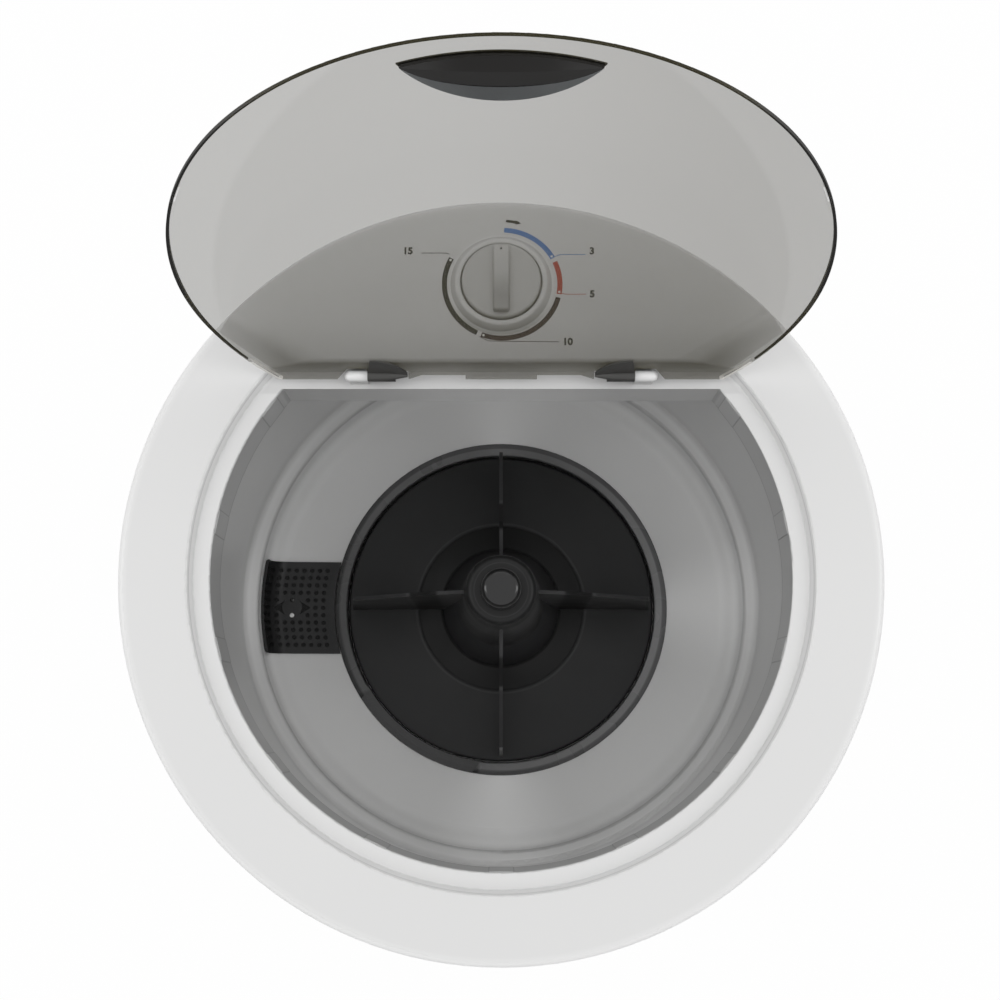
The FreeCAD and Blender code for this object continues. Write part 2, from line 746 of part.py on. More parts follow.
def timer_body():
    """Clockwork timer case under the deck, with a raised boss round the spindle."""
    under = -wall - timer_depth
    case = slab(rectangle(timer_width / 2, timer_length / 2, timer_corner), under, timer_depth)
    boss = bar(spindle_hole - seat_gap, wall, V(0, 0, -wall))
    case = fused(case, [boss])
    case = case.cut(bar(spindle_radius + run_gap, timer_depth, V(0, 0, -wall - timer_depth / 2)))
    for side in (-1, 1):
        place = V(side * timer_screw_spacing / 2, 0, -wall - screw_bite)
        case = case.cut(bar(timer_screw_radius + run_gap, screw_bite + seat_gap, place))
    terminal = block(
        (-timer_width / 4, timer_width / 4),
        (-terminal_thick / 2, terminal_thick / 2),
        (under - terminal_length, under),
    )
    return on_deck(fused(case, [terminal]))


def timer_screws():
    """Two screws through the deck, hidden under the knob."""
    screws = []
    for side in (-1, 1):
        place = V(side * timer_screw_spacing / 2, 0, 0)
        shank = bar(timer_screw_radius, wall + screw_bite, place - UP * (wall + screw_bite))
        screws.append(on_deck(shank))
    return Part.makeCompound(screws)


def splash_box():
    """Open box under the deck that keeps suds off the timer."""
    half_x = timer_width / 2 + splash_gap
    half_y = timer_length / 2 + splash_gap
    depth = timer_depth + terminal_length + splash_gap
    inside = rectangle(half_x, half_y, timer_corner)
    outside = rectangle(half_x + splash_wall, half_y + splash_wall, timer_corner + splash_wall)
    outer = slab(outside, -wall - depth - splash_wall, depth + splash_wall)
    return on_deck(outer.cut(slab(inside, -wall - depth, depth)))


# Wash tub and what is fixed to it

def tub_inside(inset):
    """Space inside the tub's wall and floor, drawn in from them by an inset."""
    radius = tub_lower_radius - inset
    lift = inset / math.cos(floor_slope)
    slope = math.tan(floor_slope)
    middle = floor_z - well_radius * slope + lift
    return turned([
        (0, middle, 0),
        (radius, middle + radius * slope, floor_round - inset),
        (radius, floor_z + tub_ledge_height, 0),
        (0, floor_z + tub_ledge_height, 0),
    ])


def wash_tub():
    """Moulded tub: flange, tapered wall, ledge, floor, impeller well and drain pocket."""
    ledge_low = floor_z + tub_ledge_height
    ledge_high = ledge_low + tub_ledge_drop
    mid_radius = tub_radius - tub_taper
    low_radius = tub_lower_radius
    edge_z = floor_z + floor_rise
    hub_hole = neck_radius + seat_gap
    tub = turned([
        (tub_radius, tub_rim, 0),
        (mid_radius, ledge_high, tub_ledge_round),
        (low_radius, ledge_low, tub_ledge_round / 2),
        (low_radius, edge_z, floor_round),
        (well_radius, floor_z, 0),
        (well_radius, well_floor, wall),
        (hub_hole, well_floor, 0),
        (hub_hole, well_under, 0),
        (well_radius + wall, well_under, 2 * wall),
        (well_radius + wall, floor_z - wall, 0),
        (low_radius + wall, edge_z - wall, floor_round + wall),
        (low_radius + wall, ledge_low - wall, edge_round),
        (mid_radius + wall, ledge_high - wall, tub_ledge_round + wall),
        (tub_radius + wall, cabinet_top, 0),
        (cabinet_radius, cabinet_top, 0),
        (cabinet_radius, tub_rim, 0),
    ])
    outer = block(
        (pocket_x - pocket_half_x - wall, pocket_x + pocket_half_x + wall),
        (-pocket_half_y - wall, pocket_half_y + wall),
        (pocket_floor - wall, floor_z + floor_round),
    )
    spout = bar(spout_bore + wall, spout_length + wall, V(pocket_x, 0, spout_bottom))
    post_height = floor_z + floor_round - bracket_top
    posts = [bar(bracket_boss_radius, post_height, V(x, y, bracket_top)) for x, y in bracket_posts()]
    outer, *posts = [piece.cut(tub_inside(0.0)) for piece in [outer] + posts]
    screw_seats = [place + UP * well_under for place in housing_places()]
    bosses = [bar(2 * housing_screw_radius, screw_bite + wall, seat) for seat in screw_seats]
    tub = fused(tub, [outer, spout] + posts + bosses)
    hollow = block(
        (pocket_x - pocket_half_x, pocket_x + pocket_half_x),
        (-pocket_half_y, pocket_half_y),
        (pocket_floor, floor_z + 2 * floor_round),
    )
    tub = tub.cut(hollow).cut(bar(spout_bore, pocket_depth + spout_length, V(pocket_x, 0, spout_bottom)))
    for degrees in cover_boss_degs:
        place = polar(rim_radius - cover_boss_inset, degrees, cabinet_top)
        tub = tub.cut(bar(base_screw_radius + run_gap, wall, place))
    for seat in screw_seats:
        tub = tub.cut(bar(housing_screw_radius + run_gap, screw_bite + seat_gap, seat))
    for x, y in bracket_posts():
        tub = tub.cut(bar(housing_screw_radius + run_gap, 2 * screw_bite, V(x, y, bracket_top)))
    return tub


def housing_places():
    """Axes of the four screws that hold the bearing housing."""
    return [polar(housing_screw_circle, degrees) for degrees in corner_degs]


def bracket_posts():
    """Axes of the two tub posts that steady the motor bracket."""
    x = motor_offset + bracket_margin - post_setback
    y = bracket_half_width - post_inset
    return [(x, -y), (x, y)]


def impeller_ring():
    """Dark trim ring seated on the well's mouth, with a flat stretch at the front left."""
    low = floor_z - ring_skirt_depth
    seat = floor_z + ring_lip * math.tan(floor_slope) + run_gap
    corners = [
        (ring_outer, seat, 0),
        (ring_outer, seat + ring_height / 2, edge_round),
        (well_radius + ring_lip / 2, floor_z + ring_height, 1.5 * edge_round),
        (ring_bore, floor_z + ring_height, edge_round),
        (ring_bore, low, 0),
        (well_radius - seat_gap, low, 0),
        (well_radius - seat_gap, seat, 0),
    ]
    ring = turned(corners)
    wire = outline([
        (ring_bore - edge_round, floor_z + 2 * ring_height, 0),
        (ring_bore - edge_round, floor_z + ring_height / 4, 0),
        (ring_outer + edge_round, seat + ring_height / 2, 0),
        (ring_outer + edge_round, floor_z + 2 * ring_height, 0),
    ], lambda p: V(p.x, 0, p.y))
    flat = Part.Face(wire).revolve(V(0, 0, 0), UP, ring_flat_to_deg - ring_flat_from_deg)
    flat = turned_about(flat, ring_flat_from_deg)
    return ring.cut(flat.common(slanted_sector()))


def slanted_sector():
    """Upright sector over the ring's flat stretch, its ends slanting in towards the outside."""
    inner = ring_bore - 2 * edge_round
    outer = ring_outer + edge_round
    first = ring_flat_from_deg + ring_flat_slant_deg
    last = ring_flat_to_deg - ring_flat_slant_deg
    z = floor_z - 2 * ring_height
    middle = (first + last) / 2
    near = [polar(inner, degrees, z) for degrees in (ring_flat_from_deg, middle, ring_flat_to_deg)]
    far = [polar(outer, degrees, z) for degrees in (last, middle, first)]
    edges = [
        Part.Arc(*near).toShape(),
        Part.LineSegment(near[2], far[0]).toShape(),
        Part.Arc(*far).toShape(),
        Part.LineSegment(far[2], near[0]).toShape(),
    ]
    return Part.Face(Part.Wire(edges)).extrude(UP * 6 * ring_height)


def filter_holes():
    """Centres of the plate's holes: columns bent like the ring's edge, none on the plain patch."""
    first = filter_inner + filter_inner_margin
    columns = int((filter_outer - filter_outer_margin - first) / filter_pitch_x) + 1
    half_rows = int((filter_half_length - filter_end_margin) / filter_pitch_y)
    centres = []
    for i in range(columns):
        for j in range(-half_rows, half_rows + 1):
            y = j * filter_pitch_y
            bend = filter_inner - math.sqrt(filter_inner ** 2 - y ** 2)
            along = (i - filter_centre_column) * filter_pitch_x
            if math.hypot(along / filter_plain_x, y / filter_plain_y) > 1.0:
                centres.append((bend - first - i * filter_pitch_x, y))
    return centres


def lint_filter():
    """Perforated plate over the drain pocket, turned up at the wall, with two arrow slots."""
    low = floor_z - pocket_depth / 4
    tall = floor_z + filter_rise - low
    prism = tube(filter_outer, filter_inner, tall, V(0, 0, low))
    window = block((-rim_radius, 0), (-filter_half_length, filter_half_length), (low, low + tall))
    prism = prism.common(window)
    corners = [e for e in prism.Edges if e.BoundBox.ZLength > tall / 2 and e.BoundBox.XMax < pocket_x]
    prism = prism.makeFillet(filter_corner, corners)
    plate = tub_inside(seat_gap).cut(tub_inside(seat_gap + filter_thick)).common(prism)
    holes = [bar(filter_hole, tall, V(x, y, low)) for x, y in filter_holes()]
    eye = V(-filter_inner - filter_inner_margin - filter_centre_column * filter_pitch_x, 0, low)
    arrow_base = eye.x + math.sqrt(filter_eye ** 2 - arrow_half ** 2)
    arrow = slab([
        (arrow_base, -arrow_half, 0),
        (eye.x + arrow_tip, 0, 0),
        (arrow_base, arrow_half, 0),
    ], low, tall)
    arrow = arrow.cut(bar(filter_eye, tall, eye))
    holes += [arrow, turned_about(arrow, 180.0, eye)]
    plate = plate.cut(Part.makeCompound(holes))
    rib_x = pocket_half_x - seat_gap
    rib_y = pocket_half_y - seat_gap
    ribs = []
    for ends in ((-rib_y, filter_thick - rib_y), (rib_y - filter_thick, rib_y)):
        rib = block((pocket_x - rib_x, pocket_x + rib_x), ends, (low, low + tall))
        ribs.append(rib.cut(tub_inside(seat_gap + filter_thick / 2)))
    return fused(plate, ribs)


def drain_hose():
    """Inner drain hose: down from the spout, one bend, out to the wall fitting."""
    inner = spout_bore + wall + run_gap
    outer = inner + hose_wall
    start = V(pocket_x, 0, spout_bottom + spout_length - wall)
    knee = V(pocket_x, 0, outlet_height + hose_bend)
    turn = V(pocket_x - hose_bend, 0, outlet_height)
    end = V(outlet_wall_x() + 3 * wall, 0, outlet_height)
    slope = hose_bend * (1 - math.sqrt(0.5))
    middle = V(pocket_x - slope, 0, outlet_height + slope)
    path = Part.Wire([
        Part.LineSegment(start, knee).toShape(),
        Part.Arc(knee, middle, turn).toShape(),
        Part.LineSegment(turn, end).toShape(),
    ])
    skins = []
    for radius in (outer, inner):
        section = Part.Wire([Part.makeCircle(radius, start, V(0, 0, -1))])
        skins.append(path.makePipeShell([section], True, False))
    return skins[0].cut(skins[1])


def outlet_wall_x():
    """Outer face of the cabinet at the drain outlet, on the left."""
    return -cabinet_radius_at(outlet_height)


def cabinet_radius_at(z):
    """Outside radius of the tapered cabinet at a height."""
    share = (z - base_top) / (cabinet_top - base_top)
    return cabinet_base_radius + cabinet_taper * share


def drain_outlet():
    """Hose fitting through the cabinet wall: inner barb, flange and outer stub."""
    x = outlet_wall_x()
    left = V(-1, 0, 0)
    inner_end = pocket_x - hose_bend - seat_gap
    stub = spout_bore + wall
    length = outlet_reach + inner_end - x
    body = bar(stub, length, V(inner_end, 0, outlet_height), left)
    seat = -cabinet_radius_at(outlet_height + outlet_flange) - run_gap
    flange = bar(outlet_flange, wall, V(seat, 0, outlet_height), left)
    body = fused(body, [flange])
    return body.cut(bar(spout_bore, length, V(inner_end, 0, outlet_height), left))


# Shaft, bearings and pulleys

def bearing_housing():
    """Flanged housing under the well, with bores for two bushes and a seal."""
    body = turned([
        (neck_radius, flange_top, 0),
        (flange_radius, flange_top, edge_round),
        (flange_radius, bracket_top, edge_round),
        (housing_radius, bracket_top, 0),
        (housing_radius, housing_bottom, 2 * edge_round),
        (shaft_radius + shaft_room, housing_bottom, 0),
        (shaft_radius + shaft_room, well_floor + neck_height, 0),
        (neck_radius, well_floor + neck_height, 0),
    ])
    bush = shaft_radius + bush_wall + run_gap
    body = body.cut(bar(bush, bush_length, V(0, 0, housing_bottom)))
    body = body.cut(bar(bush, bush_length + seal_height, V(0, 0, upper_bush_z())))
    for place in housing_places():
        start = place + UP * (bracket_top - wall)
        body = body.cut(bar(housing_screw_radius + run_gap, 2 * flange_thick, start))
    return body


def upper_bush_z():
    """Foot of the upper bush, below the seal at the top of the neck."""
    return well_floor + neck_height - seal_height - bush_length


def bush(foot):
    """Plain bearing bush round the shaft."""
    return tube(shaft_radius + bush_wall, shaft_radius + run_gap, bush_length, V(0, 0, foot))


def shaft_seal():
    """Rubber seal on top of the upper bush."""
    outer = shaft_radius + bush_wall
    return tube(outer, shaft_radius + run_gap, seal_height, V(0, 0, upper_bush_z() + bush_length))


def housing_gasket():
    """Rubber gasket between the housing's flange and the well."""
    ring = tube(flange_radius, neck_radius + seat_gap, gasket_thick, V(0, 0, flange_top))
    for place in housing_places():
        ring = ring.cut(bar(housing_screw_radius + run_gap, gasket_thick, place + V(0, 0, flange_top)))
    return ring


def hex_screw(radius, grip, bite, top):
    """Hexagon screw hanging head down, its shank ending a bite above the grip."""
    head = Part.Face(Part.makePolygon([polar(hex_corner_share * radius, 60.0 * k, 0) for k in range(7)]))
    head = head.extrude(V(0, 0, -hex_depth_share * radius))
    screw = head.fuse(bar(radius, grip + bite, V(0, 0, 0))).removeSplitter()
    screw.translate(V(top.x, top.y, top.z - grip))
    return screw


def housing_screws():
    """Screws through bracket, flange and gasket into the well's bosses."""
    grip = well_under - bracket_under
    seats = [place + UP * well_under for place in housing_places()]
    return Part.makeCompound([hex_screw(housing_screw_radius, grip, screw_bite, seat) for seat in seats])


def drive_shaft():
    """Steel shaft: spigot for the impeller, bearing length, clip groove, pulley end."""
    shaft = bar(shaft_radius, shaft_step - shaft_bottom, V(0, 0, shaft_bottom))
    shaft = fused(shaft, [bar(spigot_radius, boss_top - wall - shaft_step, V(0, 0, shaft_step))])
    floor = shaft_radius - clip_groove
    groove = tube(shaft_radius + clip_groove, floor, clip_thick + run_gap, V(0, 0, clip_z))
    depth = hub_screw_bite + wall
    tapped = bar(housing_screw_radius + run_gap, depth, V(0, 0, boss_top - wall - depth))
    return shaft.cut(groove).cut(tapped)


def shaft_clip():
    """Spring clip in the shaft's groove, open on one side."""
    inner = shaft_radius - clip_groove + run_gap
    ring = tube(shaft_radius + clip_proud, inner, clip_thick, V(0, 0, clip_z))
    half = shaft_radius / 2
    return ring.cut(block((0, 2 * shaft_radius + clip_proud), (-half, half), (clip_z, clip_z + clip_thick)))


def grooved_rim(radius):
    """Corners of a pulley's rim with its V groove, about the belt's middle level."""
    half = pulley_width / 2
    floor = radius - groove_depth
    low = belt_groove_half(0.0)
    high = belt_groove_half(groove_depth)
    return [
        (radius, -half, edge_round),
        (radius, -high, 0),
        (floor, -low, 0),
        (floor, low, 0),
        (radius, high, 0),
        (radius, half, edge_round),
    ]


def belt_groove_half(height):
    """Half width of the groove at a height above its floor: the belt's flank and a clearance."""
    flare = (belt_top_width - belt_bottom_width) / 2 / belt_height
    return belt_bottom_width / 2 + seat_gap + flare * (height - belt_bed + seat_gap)


def large_pulley():
    """Pulley at the foot of the shaft, its web pierced by round holes."""
    rim = large_pulley_radius - groove_depth - wall
    hub = pulley_hub_radius
    bore = shaft_radius + run_gap
    top = pulley_hub_length / 2
    half = pulley_width / 2
    lower = [(bore, -top, 0), (hub, -top, 0), (hub, -wall, 0), (rim, -wall, 0), (rim, -half, 0)]
    upper = [(r, -z, 0) for r, z, _ in reversed(lower)]
    wheel = turned(lower + grooved_rim(large_pulley_radius) + upper)
    hole = bar((rim - hub) / 2 - web_margin, 4 * wall, V((hub + rim) / 2, 0, -2 * wall))
    for cutter in spaced_round(hole, pulley_holes):
        wheel = wheel.cut(cutter)
    wheel.translate(V(0, 0, belt_z))
    return wheel


def pulley_nut():
    """Hexagon nut under the large pulley."""
    corner = nut_across / math.sqrt(3)
    face = Part.Face(Part.makePolygon([polar(corner, 60.0 * k, 0) for k in range(7)]))
    nut = face.extrude(V(0, 0, nut_height)).cut(bar(shaft_radius + run_gap, nut_height, V(0, 0, 0)))
    nut.translate(V(0, 0, belt_z - pulley_hub_length / 2 - nut_height))
    return nut


def drive_belt():
    """Vee belt round both pulleys: two wraps and two straight runs."""
    big = large_pulley_radius - groove_depth + belt_bed
    small = small_pulley_radius - groove_depth + belt_bed
    wrap = math.degrees(math.acos((big - small) / motor_offset))

    def section(radius):
        half_low = belt_bottom_width / 2
        half_high = belt_top_width / 2
        corners = ((radius, -half_low), (radius, half_low), (radius + belt_height, half_high),
                   (radius + belt_height, -half_high))
        points = [V(r, 0, belt_z + z) for r, z in corners]
        return Part.Face(Part.makePolygon(points + points[:1]))

    big_wrap = section(big).revolve(V(0, 0, 0), UP, 360.0 - 2 * wrap)
    big_wrap = turned_about(big_wrap, wrap)
    small_wrap = turned_about(section(small).revolve(V(0, 0, 0), UP, 2 * wrap), -wrap)
    small_wrap.translate(V(motor_offset, 0, 0))
    run = math.sqrt(motor_offset ** 2 - (big - small) ** 2)
    upper = turned_about(section(big), wrap).extrude(polar(run, wrap - 90.0))
    lower = turned_about(section(big), -wrap).extrude(polar(run, 90.0 - wrap))
    return fused(big_wrap, [small_wrap, upper, lower])


# Impeller

def impeller():
    """Moulded impeller: stepped disc, tapered hollow hub and four upright blades."""
    roof = boss_top - 2 * wall
    skirt_foot = disc_z - 2 * disc_thick
    body = turned([
        (spigot_radius + run_gap, shaft_step, 0),
        (2 * spigot_radius, shaft_step, 0),
        (2 * spigot_radius, roof, 0),
        (shoulder_radius - 2 * wall, roof, wall),
        (step_inner - wall, step_low, wall),
        (step_outer - wall, step_low - disc_thick, 0),
        (impeller_radius - wall, disc_z - disc_thick, 0),
        (impeller_radius - wall, skirt_foot, 0),
        (impeller_radius, skirt_foot, 0),
        (impeller_radius, disc_z, 2 * edge_round),
        (step_outer, step_low, edge_round),
        (step_outer - step_draft, step_high, edge_round),
        (step_inner + step_draft, inner_low, edge_round),
        (step_inner, inner_high, 2 * edge_round),
        (hub_waist, inner_high + hub_flare, hub_flare),
        (shoulder_radius + step_draft, shoulder_z - blade_drop, blade_drop),
        (shoulder_radius, shoulder_z, 4 * edge_round),
        (hub_bore, shoulder_z, 0),
        (hub_bore, boss_top, 0),
        (spigot_radius + run_gap, boss_top, 0),
    ])
    blades = spaced_round(blade(), 4)
    return fused(body, blades)


def blade():
    """One upright blade from inside the hub out to the disc's edge."""
    end = impeller_radius - blade_end_gap
    top = shoulder_z - blade_drop
    low = disc_z - disc_thick / 2
    wire = outline([
        (shoulder_radius - wall, top, 0),
        (blade_kink, top - blade_fall, 2 * blade_thick),
        (end - blade_draft, disc_z + blade_outer_height, blade_thick),
        (end, low, 0),
        (step_outer, low, 0),
        (step_outer - step_draft, step_low, 0),
        (step_inner, step_high, 0),
    ], lambda p: V(p.x, -blade_thick / 2, p.y))
    return Part.Face(wire).extrude(V(0, blade_thick, 0))


def impeller_cap():
    """Rounded cap plugged into the top of the hub."""
    return turned([
        (0, shoulder_z - cap_plug, 0),
        (hub_bore - run_gap, shoulder_z - cap_plug, 0),
        (hub_bore - run_gap, shoulder_z, 0),
        (cap_radius, shoulder_z, 0),
        (cap_radius - edge_round, cap_top - cap_dome, cap_crown),
        (0, cap_top, 0),
    ])


def impeller_screw():
    """Screw down the hub into the shaft's end."""
    head = bar(hub_bore - wall, hub_screw_head, V(0, 0, boss_top))
    length = wall + hub_screw_bite
    return fused(head, [bar(housing_screw_radius, length, V(0, 0, boss_top - length))])


# Motor and its bracket

def bracket_outline(grow):
    """Corners of the bracket plate, larger all round by a growth."""
    left = -bracket_front_reach - grow
    right = motor_offset + bracket_margin + grow
    half = bracket_half_width + grow
    corners = ((left, -half), (right, -half), (right, half), (left, half))
    return [(x, y, bracket_round + grow) for x, y in corners]


def motor_bolt_places():
    """Axes of the four bolts that hang the motor."""
    half = motor_bolt_spacing / 2
    return [V(motor_offset + a * half, b * half, 0) for a, b in ((1, 1), (-1, 1), (-1, -1), (1, -1))]


def motor_bracket():
    """Steel plate with a turned-down edge, carrying the motor under the tub."""
    tray = slab(bracket_outline(0.0), bracket_under - 3 * wall, 3 * wall + bracket_thick)
    tray = tray.cut(slab(bracket_outline(-bracket_thick), bracket_under - 3 * wall, 3 * wall))
    tray = tray.cut(bar(housing_radius + seat_gap, bracket_thick, V(0, 0, bracket_under)))
    holes = [(p.x, p.y, housing_screw_radius) for p in housing_places()]
    holes += [(x, y, housing_screw_radius) for x, y in bracket_posts()]
    holes += [(p.x, p.y, motor_bolt_radius) for p in motor_bolt_places()]
    for x, y, radius in holes:
        tray = tray.cut(bar(radius + run_gap, bracket_thick, V(x, y, bracket_under)))
    return tray


def bracket_screws():
    """Screws up through the bracket into the tub's two posts."""
    places = [V(x, y, bracket_top) for x, y in bracket_posts()]
    screws = [hex_screw(housing_screw_radius, bracket_thick, 1.5 * screw_bite, p) for p in places]
    return Part.makeCompound(screws)


def motor_mounts():
    """Rubber spacers between the bracket and the motor."""
    pads = []
    for place in motor_bolt_places():
        pads.append(tube(mount_radius, motor_bolt_radius + run_gap, mount_height, place + V(0, 0, motor_top)))
    return Part.makeCompound(pads)


def motor_bell(bottom, dish_side):
    """Square end bell: casting dished from below (-1) or above (1), with a bearing boss and vent slots."""
    centre = V(motor_offset, 0, bottom)
    corners = [(motor_offset + x, y, r) for x, y, r in rectangle(motor_half, motor_half, motor_corner)]
    bell = slab(corners, bottom, bell_height)
    cavity = bar(stator_radius - bell_wall, bell_height - bell_wall, centre)
    boss = bar(motor_bearing_radius, bell_height - seat_gap, centre)
    cavity.translate(UP * (bell_wall if dish_side > 0 else 0.0))
    boss.translate(UP * (0.0 if dish_side > 0 else seat_gap))
    bell = fused(bell.cut(cavity), [boss])
    vent = block(
        (motor_bearing_radius + vent_margin, stator_radius - vent_margin),
        (-vent_width / 2, vent_width / 2),
        (bottom, bottom + bell_height),
    )
    for cutter in spaced_round(vent, vent_count):
        cutter.translate(V(motor_offset, 0, 0))
        bell = bell.cut(cutter)
    for place in motor_bolt_places():
        bell = bell.cut(bar(motor_bolt_radius + run_gap, bell_height, place + UP * bottom))
    return bell.cut(bar(motor_shaft_radius + run_gap, bell_height, centre))


def motor_stator():
    """Laminated stator ring between the end bells."""
    bore = rotor_radius + air_gap
    return tube(stator_radius, bore, stator_height, V(motor_offset, 0, stator_bottom))


def motor_windings():
    """Copper end turns above and below the stator."""
    bore = rotor_radius + winding_gap
    outer = stator_radius - bell_wall - winding_gap
    top = tube(outer, bore, winding_height, V(motor_offset, 0, stator_top))
    bottom = tube(outer, bore, winding_height, V(motor_offset, 0, stator_bottom - winding_height))
    return Part.makeCompound([top, bottom])


def motor_through_bolts():
    """Long bolts through bracket, rubber mounts and both end bells."""
    nut_depth = 1.5 * motor_bolt_radius
    bolts = []
    for place in motor_bolt_places():
        low = place + UP * (motor_bottom - nut_depth)
        shank = bar(motor_bolt_radius, bracket_top - low.z, low)
        head = bar(2 * motor_bolt_radius, motor_bolt_radius, place + UP * bracket_top)
        nut = bar(2 * motor_bolt_radius, nut_depth, low)
        bolts.append(fused(shank, [head, nut]))
    return Part.makeCompound(bolts)


def motor_rotor():
    """Rotor core on the motor's shaft."""
    core = bar(rotor_radius, stator_height, V(motor_offset, 0, stator_bottom))
    return core.cut(bar(motor_shaft_radius, stator_height, V(motor_offset, 0, stator_bottom)))


def motor_shaft():
    """Motor shaft, down from the upper bell to the small pulley."""
    bottom = belt_z - pulley_width / 2
    return bar(motor_shaft_radius, stator_top + bell_height - bell_wall - bottom, V(motor_offset, 0, bottom))


def motor_fan():
    """Cooling fan under the motor: a disc with upright blades."""
    low = fan_top - fan_height
    disc = tube(fan_radius, motor_shaft_radius, fan_disc, V(0, 0, low))
    hub = tube(2 * motor_shaft_radius, motor_shaft_radius, fan_height, V(0, 0, low))
    vane = block(
        (1.5 * motor_shaft_radius, fan_radius - fan_disc),
        (-fan_disc / 2, fan_disc / 2),
        (low, fan_top),
    )
    fan = fused(disc, [hub] + spaced_round(vane, fan_blades))
    fan.translate(V(motor_offset, 0, 0))
    return fan


def motor_pulley():
    """Small pulley on the motor's shaft."""
    half = pulley_width / 2
    bore = [(motor_shaft_radius, -half, 0), (motor_shaft_radius, half, 0)]
    wheel = turned(bore[:1] + grooved_rim(small_pulley_radius) + bore[1:])
    wheel.translate(V(motor_offset, 0, belt_z))
    return wheel


def capacitor():
    """Round motor capacitor hung under the bracket."""
    foot = V(capacitor_x, capacitor_y(), bracket_under - capacitor_height)
    return bar(capacitor_radius, capacitor_height, foot)


def capacitor_y():
    """Capacitor axis, just inside the bracket's turned-down edge."""
    return capacitor_radius + run_gap + band_wall + capacitor_gap + bracket_thick - bracket_half_width


def capacitor_clip():
    """Steel band round the capacitor with a foot on the bracket."""
    inner = capacitor_radius + run_gap
    top = bracket_under
    y = capacitor_y()
    band = tube(inner + band_wall, inner, band_height, V(capacitor_x, y, top - band_height))
    foot = block(
        (capacitor_x + inner, capacitor_x + inner + band_foot),
        (y - band_height / 2, y + band_height / 2),
        (top - band_wall, top),
    )
    foot = foot.cut(bar(inner, band_height, V(capacitor_x, y, top - band_height)))
    return fused(band, [foot])


# Cabinet, base and feet

def cabinet_shell():
    """Tapered round cabinet, open at both ends, with the drain and cord openings."""
    shell = turned([
        (cabinet_base_radius, base_top, 0),
        (cabinet_radius, cabinet_top, 0),
        (cabinet_radius - wall, cabinet_top, 0),
        (cabinet_base_radius - wall, base_top, 0),
    ])
    stub = spout_bore + wall + run_gap
    shell = shell.cut(bar(stub, 4 * wall, V(outlet_wall_x() - 2 * wall, 0, outlet_height), ACROSS))
    back = cabinet_radius_at(gland_height)
    shell = shell.cut(bar(gland_radius + run_gap, 4 * wall, V(0, back - 2 * wall, gland_height), V(0, 1, 0)))
    for degrees in corner_degs:
        shell = shell.cut(base_screw_hole(degrees))
    return shell


def base_screw_hole(degrees):
    """Radial hole of a screw that holds the cabinet to the base."""
    z = base_top + base_upstand / 2
    outside = polar(cabinet_radius_at(z) + screw_bite, degrees, z)
    return bar(base_screw_radius + run_gap, 3 * screw_bite, outside, polar(-1.0, degrees))


def base():
    """Moulded base ring with an upstand inside the cabinet and a flange that takes the feet."""
    outer = cabinet_base_radius + base_proud
    upstand = cabinet_base_radius - wall - seat_gap
    ring = turned([
        (outer, foot_height + base_toe, 2 * edge_round),
        (outer, base_top, edge_round),
        (upstand, base_top, 0),
        (upstand, base_top + base_upstand, 0),
        (upstand - wall, base_top + base_upstand, 0),
        (upstand - wall, foot_height + wall, 0),
        (outer - base_ring_width, foot_height + wall, 0),
        (outer - base_ring_width, foot_height, 0),
        (outer - base_toe, foot_height, 2 * edge_round),
    ])
    for degrees in corner_degs:
        ring = ring.cut(base_screw_hole(degrees))
        ring = ring.cut(bar(foot_peg_radius + run_gap, base_height, foot_place(degrees)))
    return ring


def foot_place(degrees):
    """Centre of a foot on the base's underside."""
    return polar(cabinet_base_radius - foot_inset, degrees, foot_height)


def foot(degrees):
    """Rubber foot: tapered pad with a peg up through the base."""
    pad = turned([
        (0, 0, 0),
        (foot_toe_radius, 0, edge_round),
        (foot_radius, foot_height, 0),
        (foot_peg_radius, foot_height, 0),
        (foot_peg_radius, foot_height + foot_peg_height, edge_round),
        (0, foot_height + foot_peg_height, 0),
    ])
    place = foot_place(degrees)
    pad.translate(V(place.x, place.y, 0))
    return pad


def base_screws():
    """Screws that hold the cabinet to the base."""
    z = base_top + base_upstand / 2
    screws = []
    for degrees in corner_degs:
        outside = polar(cabinet_radius_at(z) + seat_gap, degrees, z)
        inward = polar(-1.0, degrees)
        head = bar(screw_head_radius, screw_head_height, outside, inward * -1)
        shank = bar(base_screw_radius, 3 * wall, outside, inward)
        screws.append(fused(head, [shank]))
    return Part.makeCompound(screws)


def cord_gland():
    """Bush for the mains lead in the cabinet's back."""
    back = cabinet_radius_at(gland_height)
    rearward = V(0, 1, 0)
    body = bar(gland_radius, gland_reach + 3 * wall, V(0, back - 3 * wall, gland_height), rearward)
    seat = cabinet_radius_at(gland_height + gland_collar) + run_gap
    collar = bar(gland_collar, wall, V(0, seat, gland_height), rearward)
    body = fused(body, [collar])
    return body.cut(bar(gland_bore, gland_reach + 6 * wall, V(0, back - 4 * wall, gland_height), rearward))


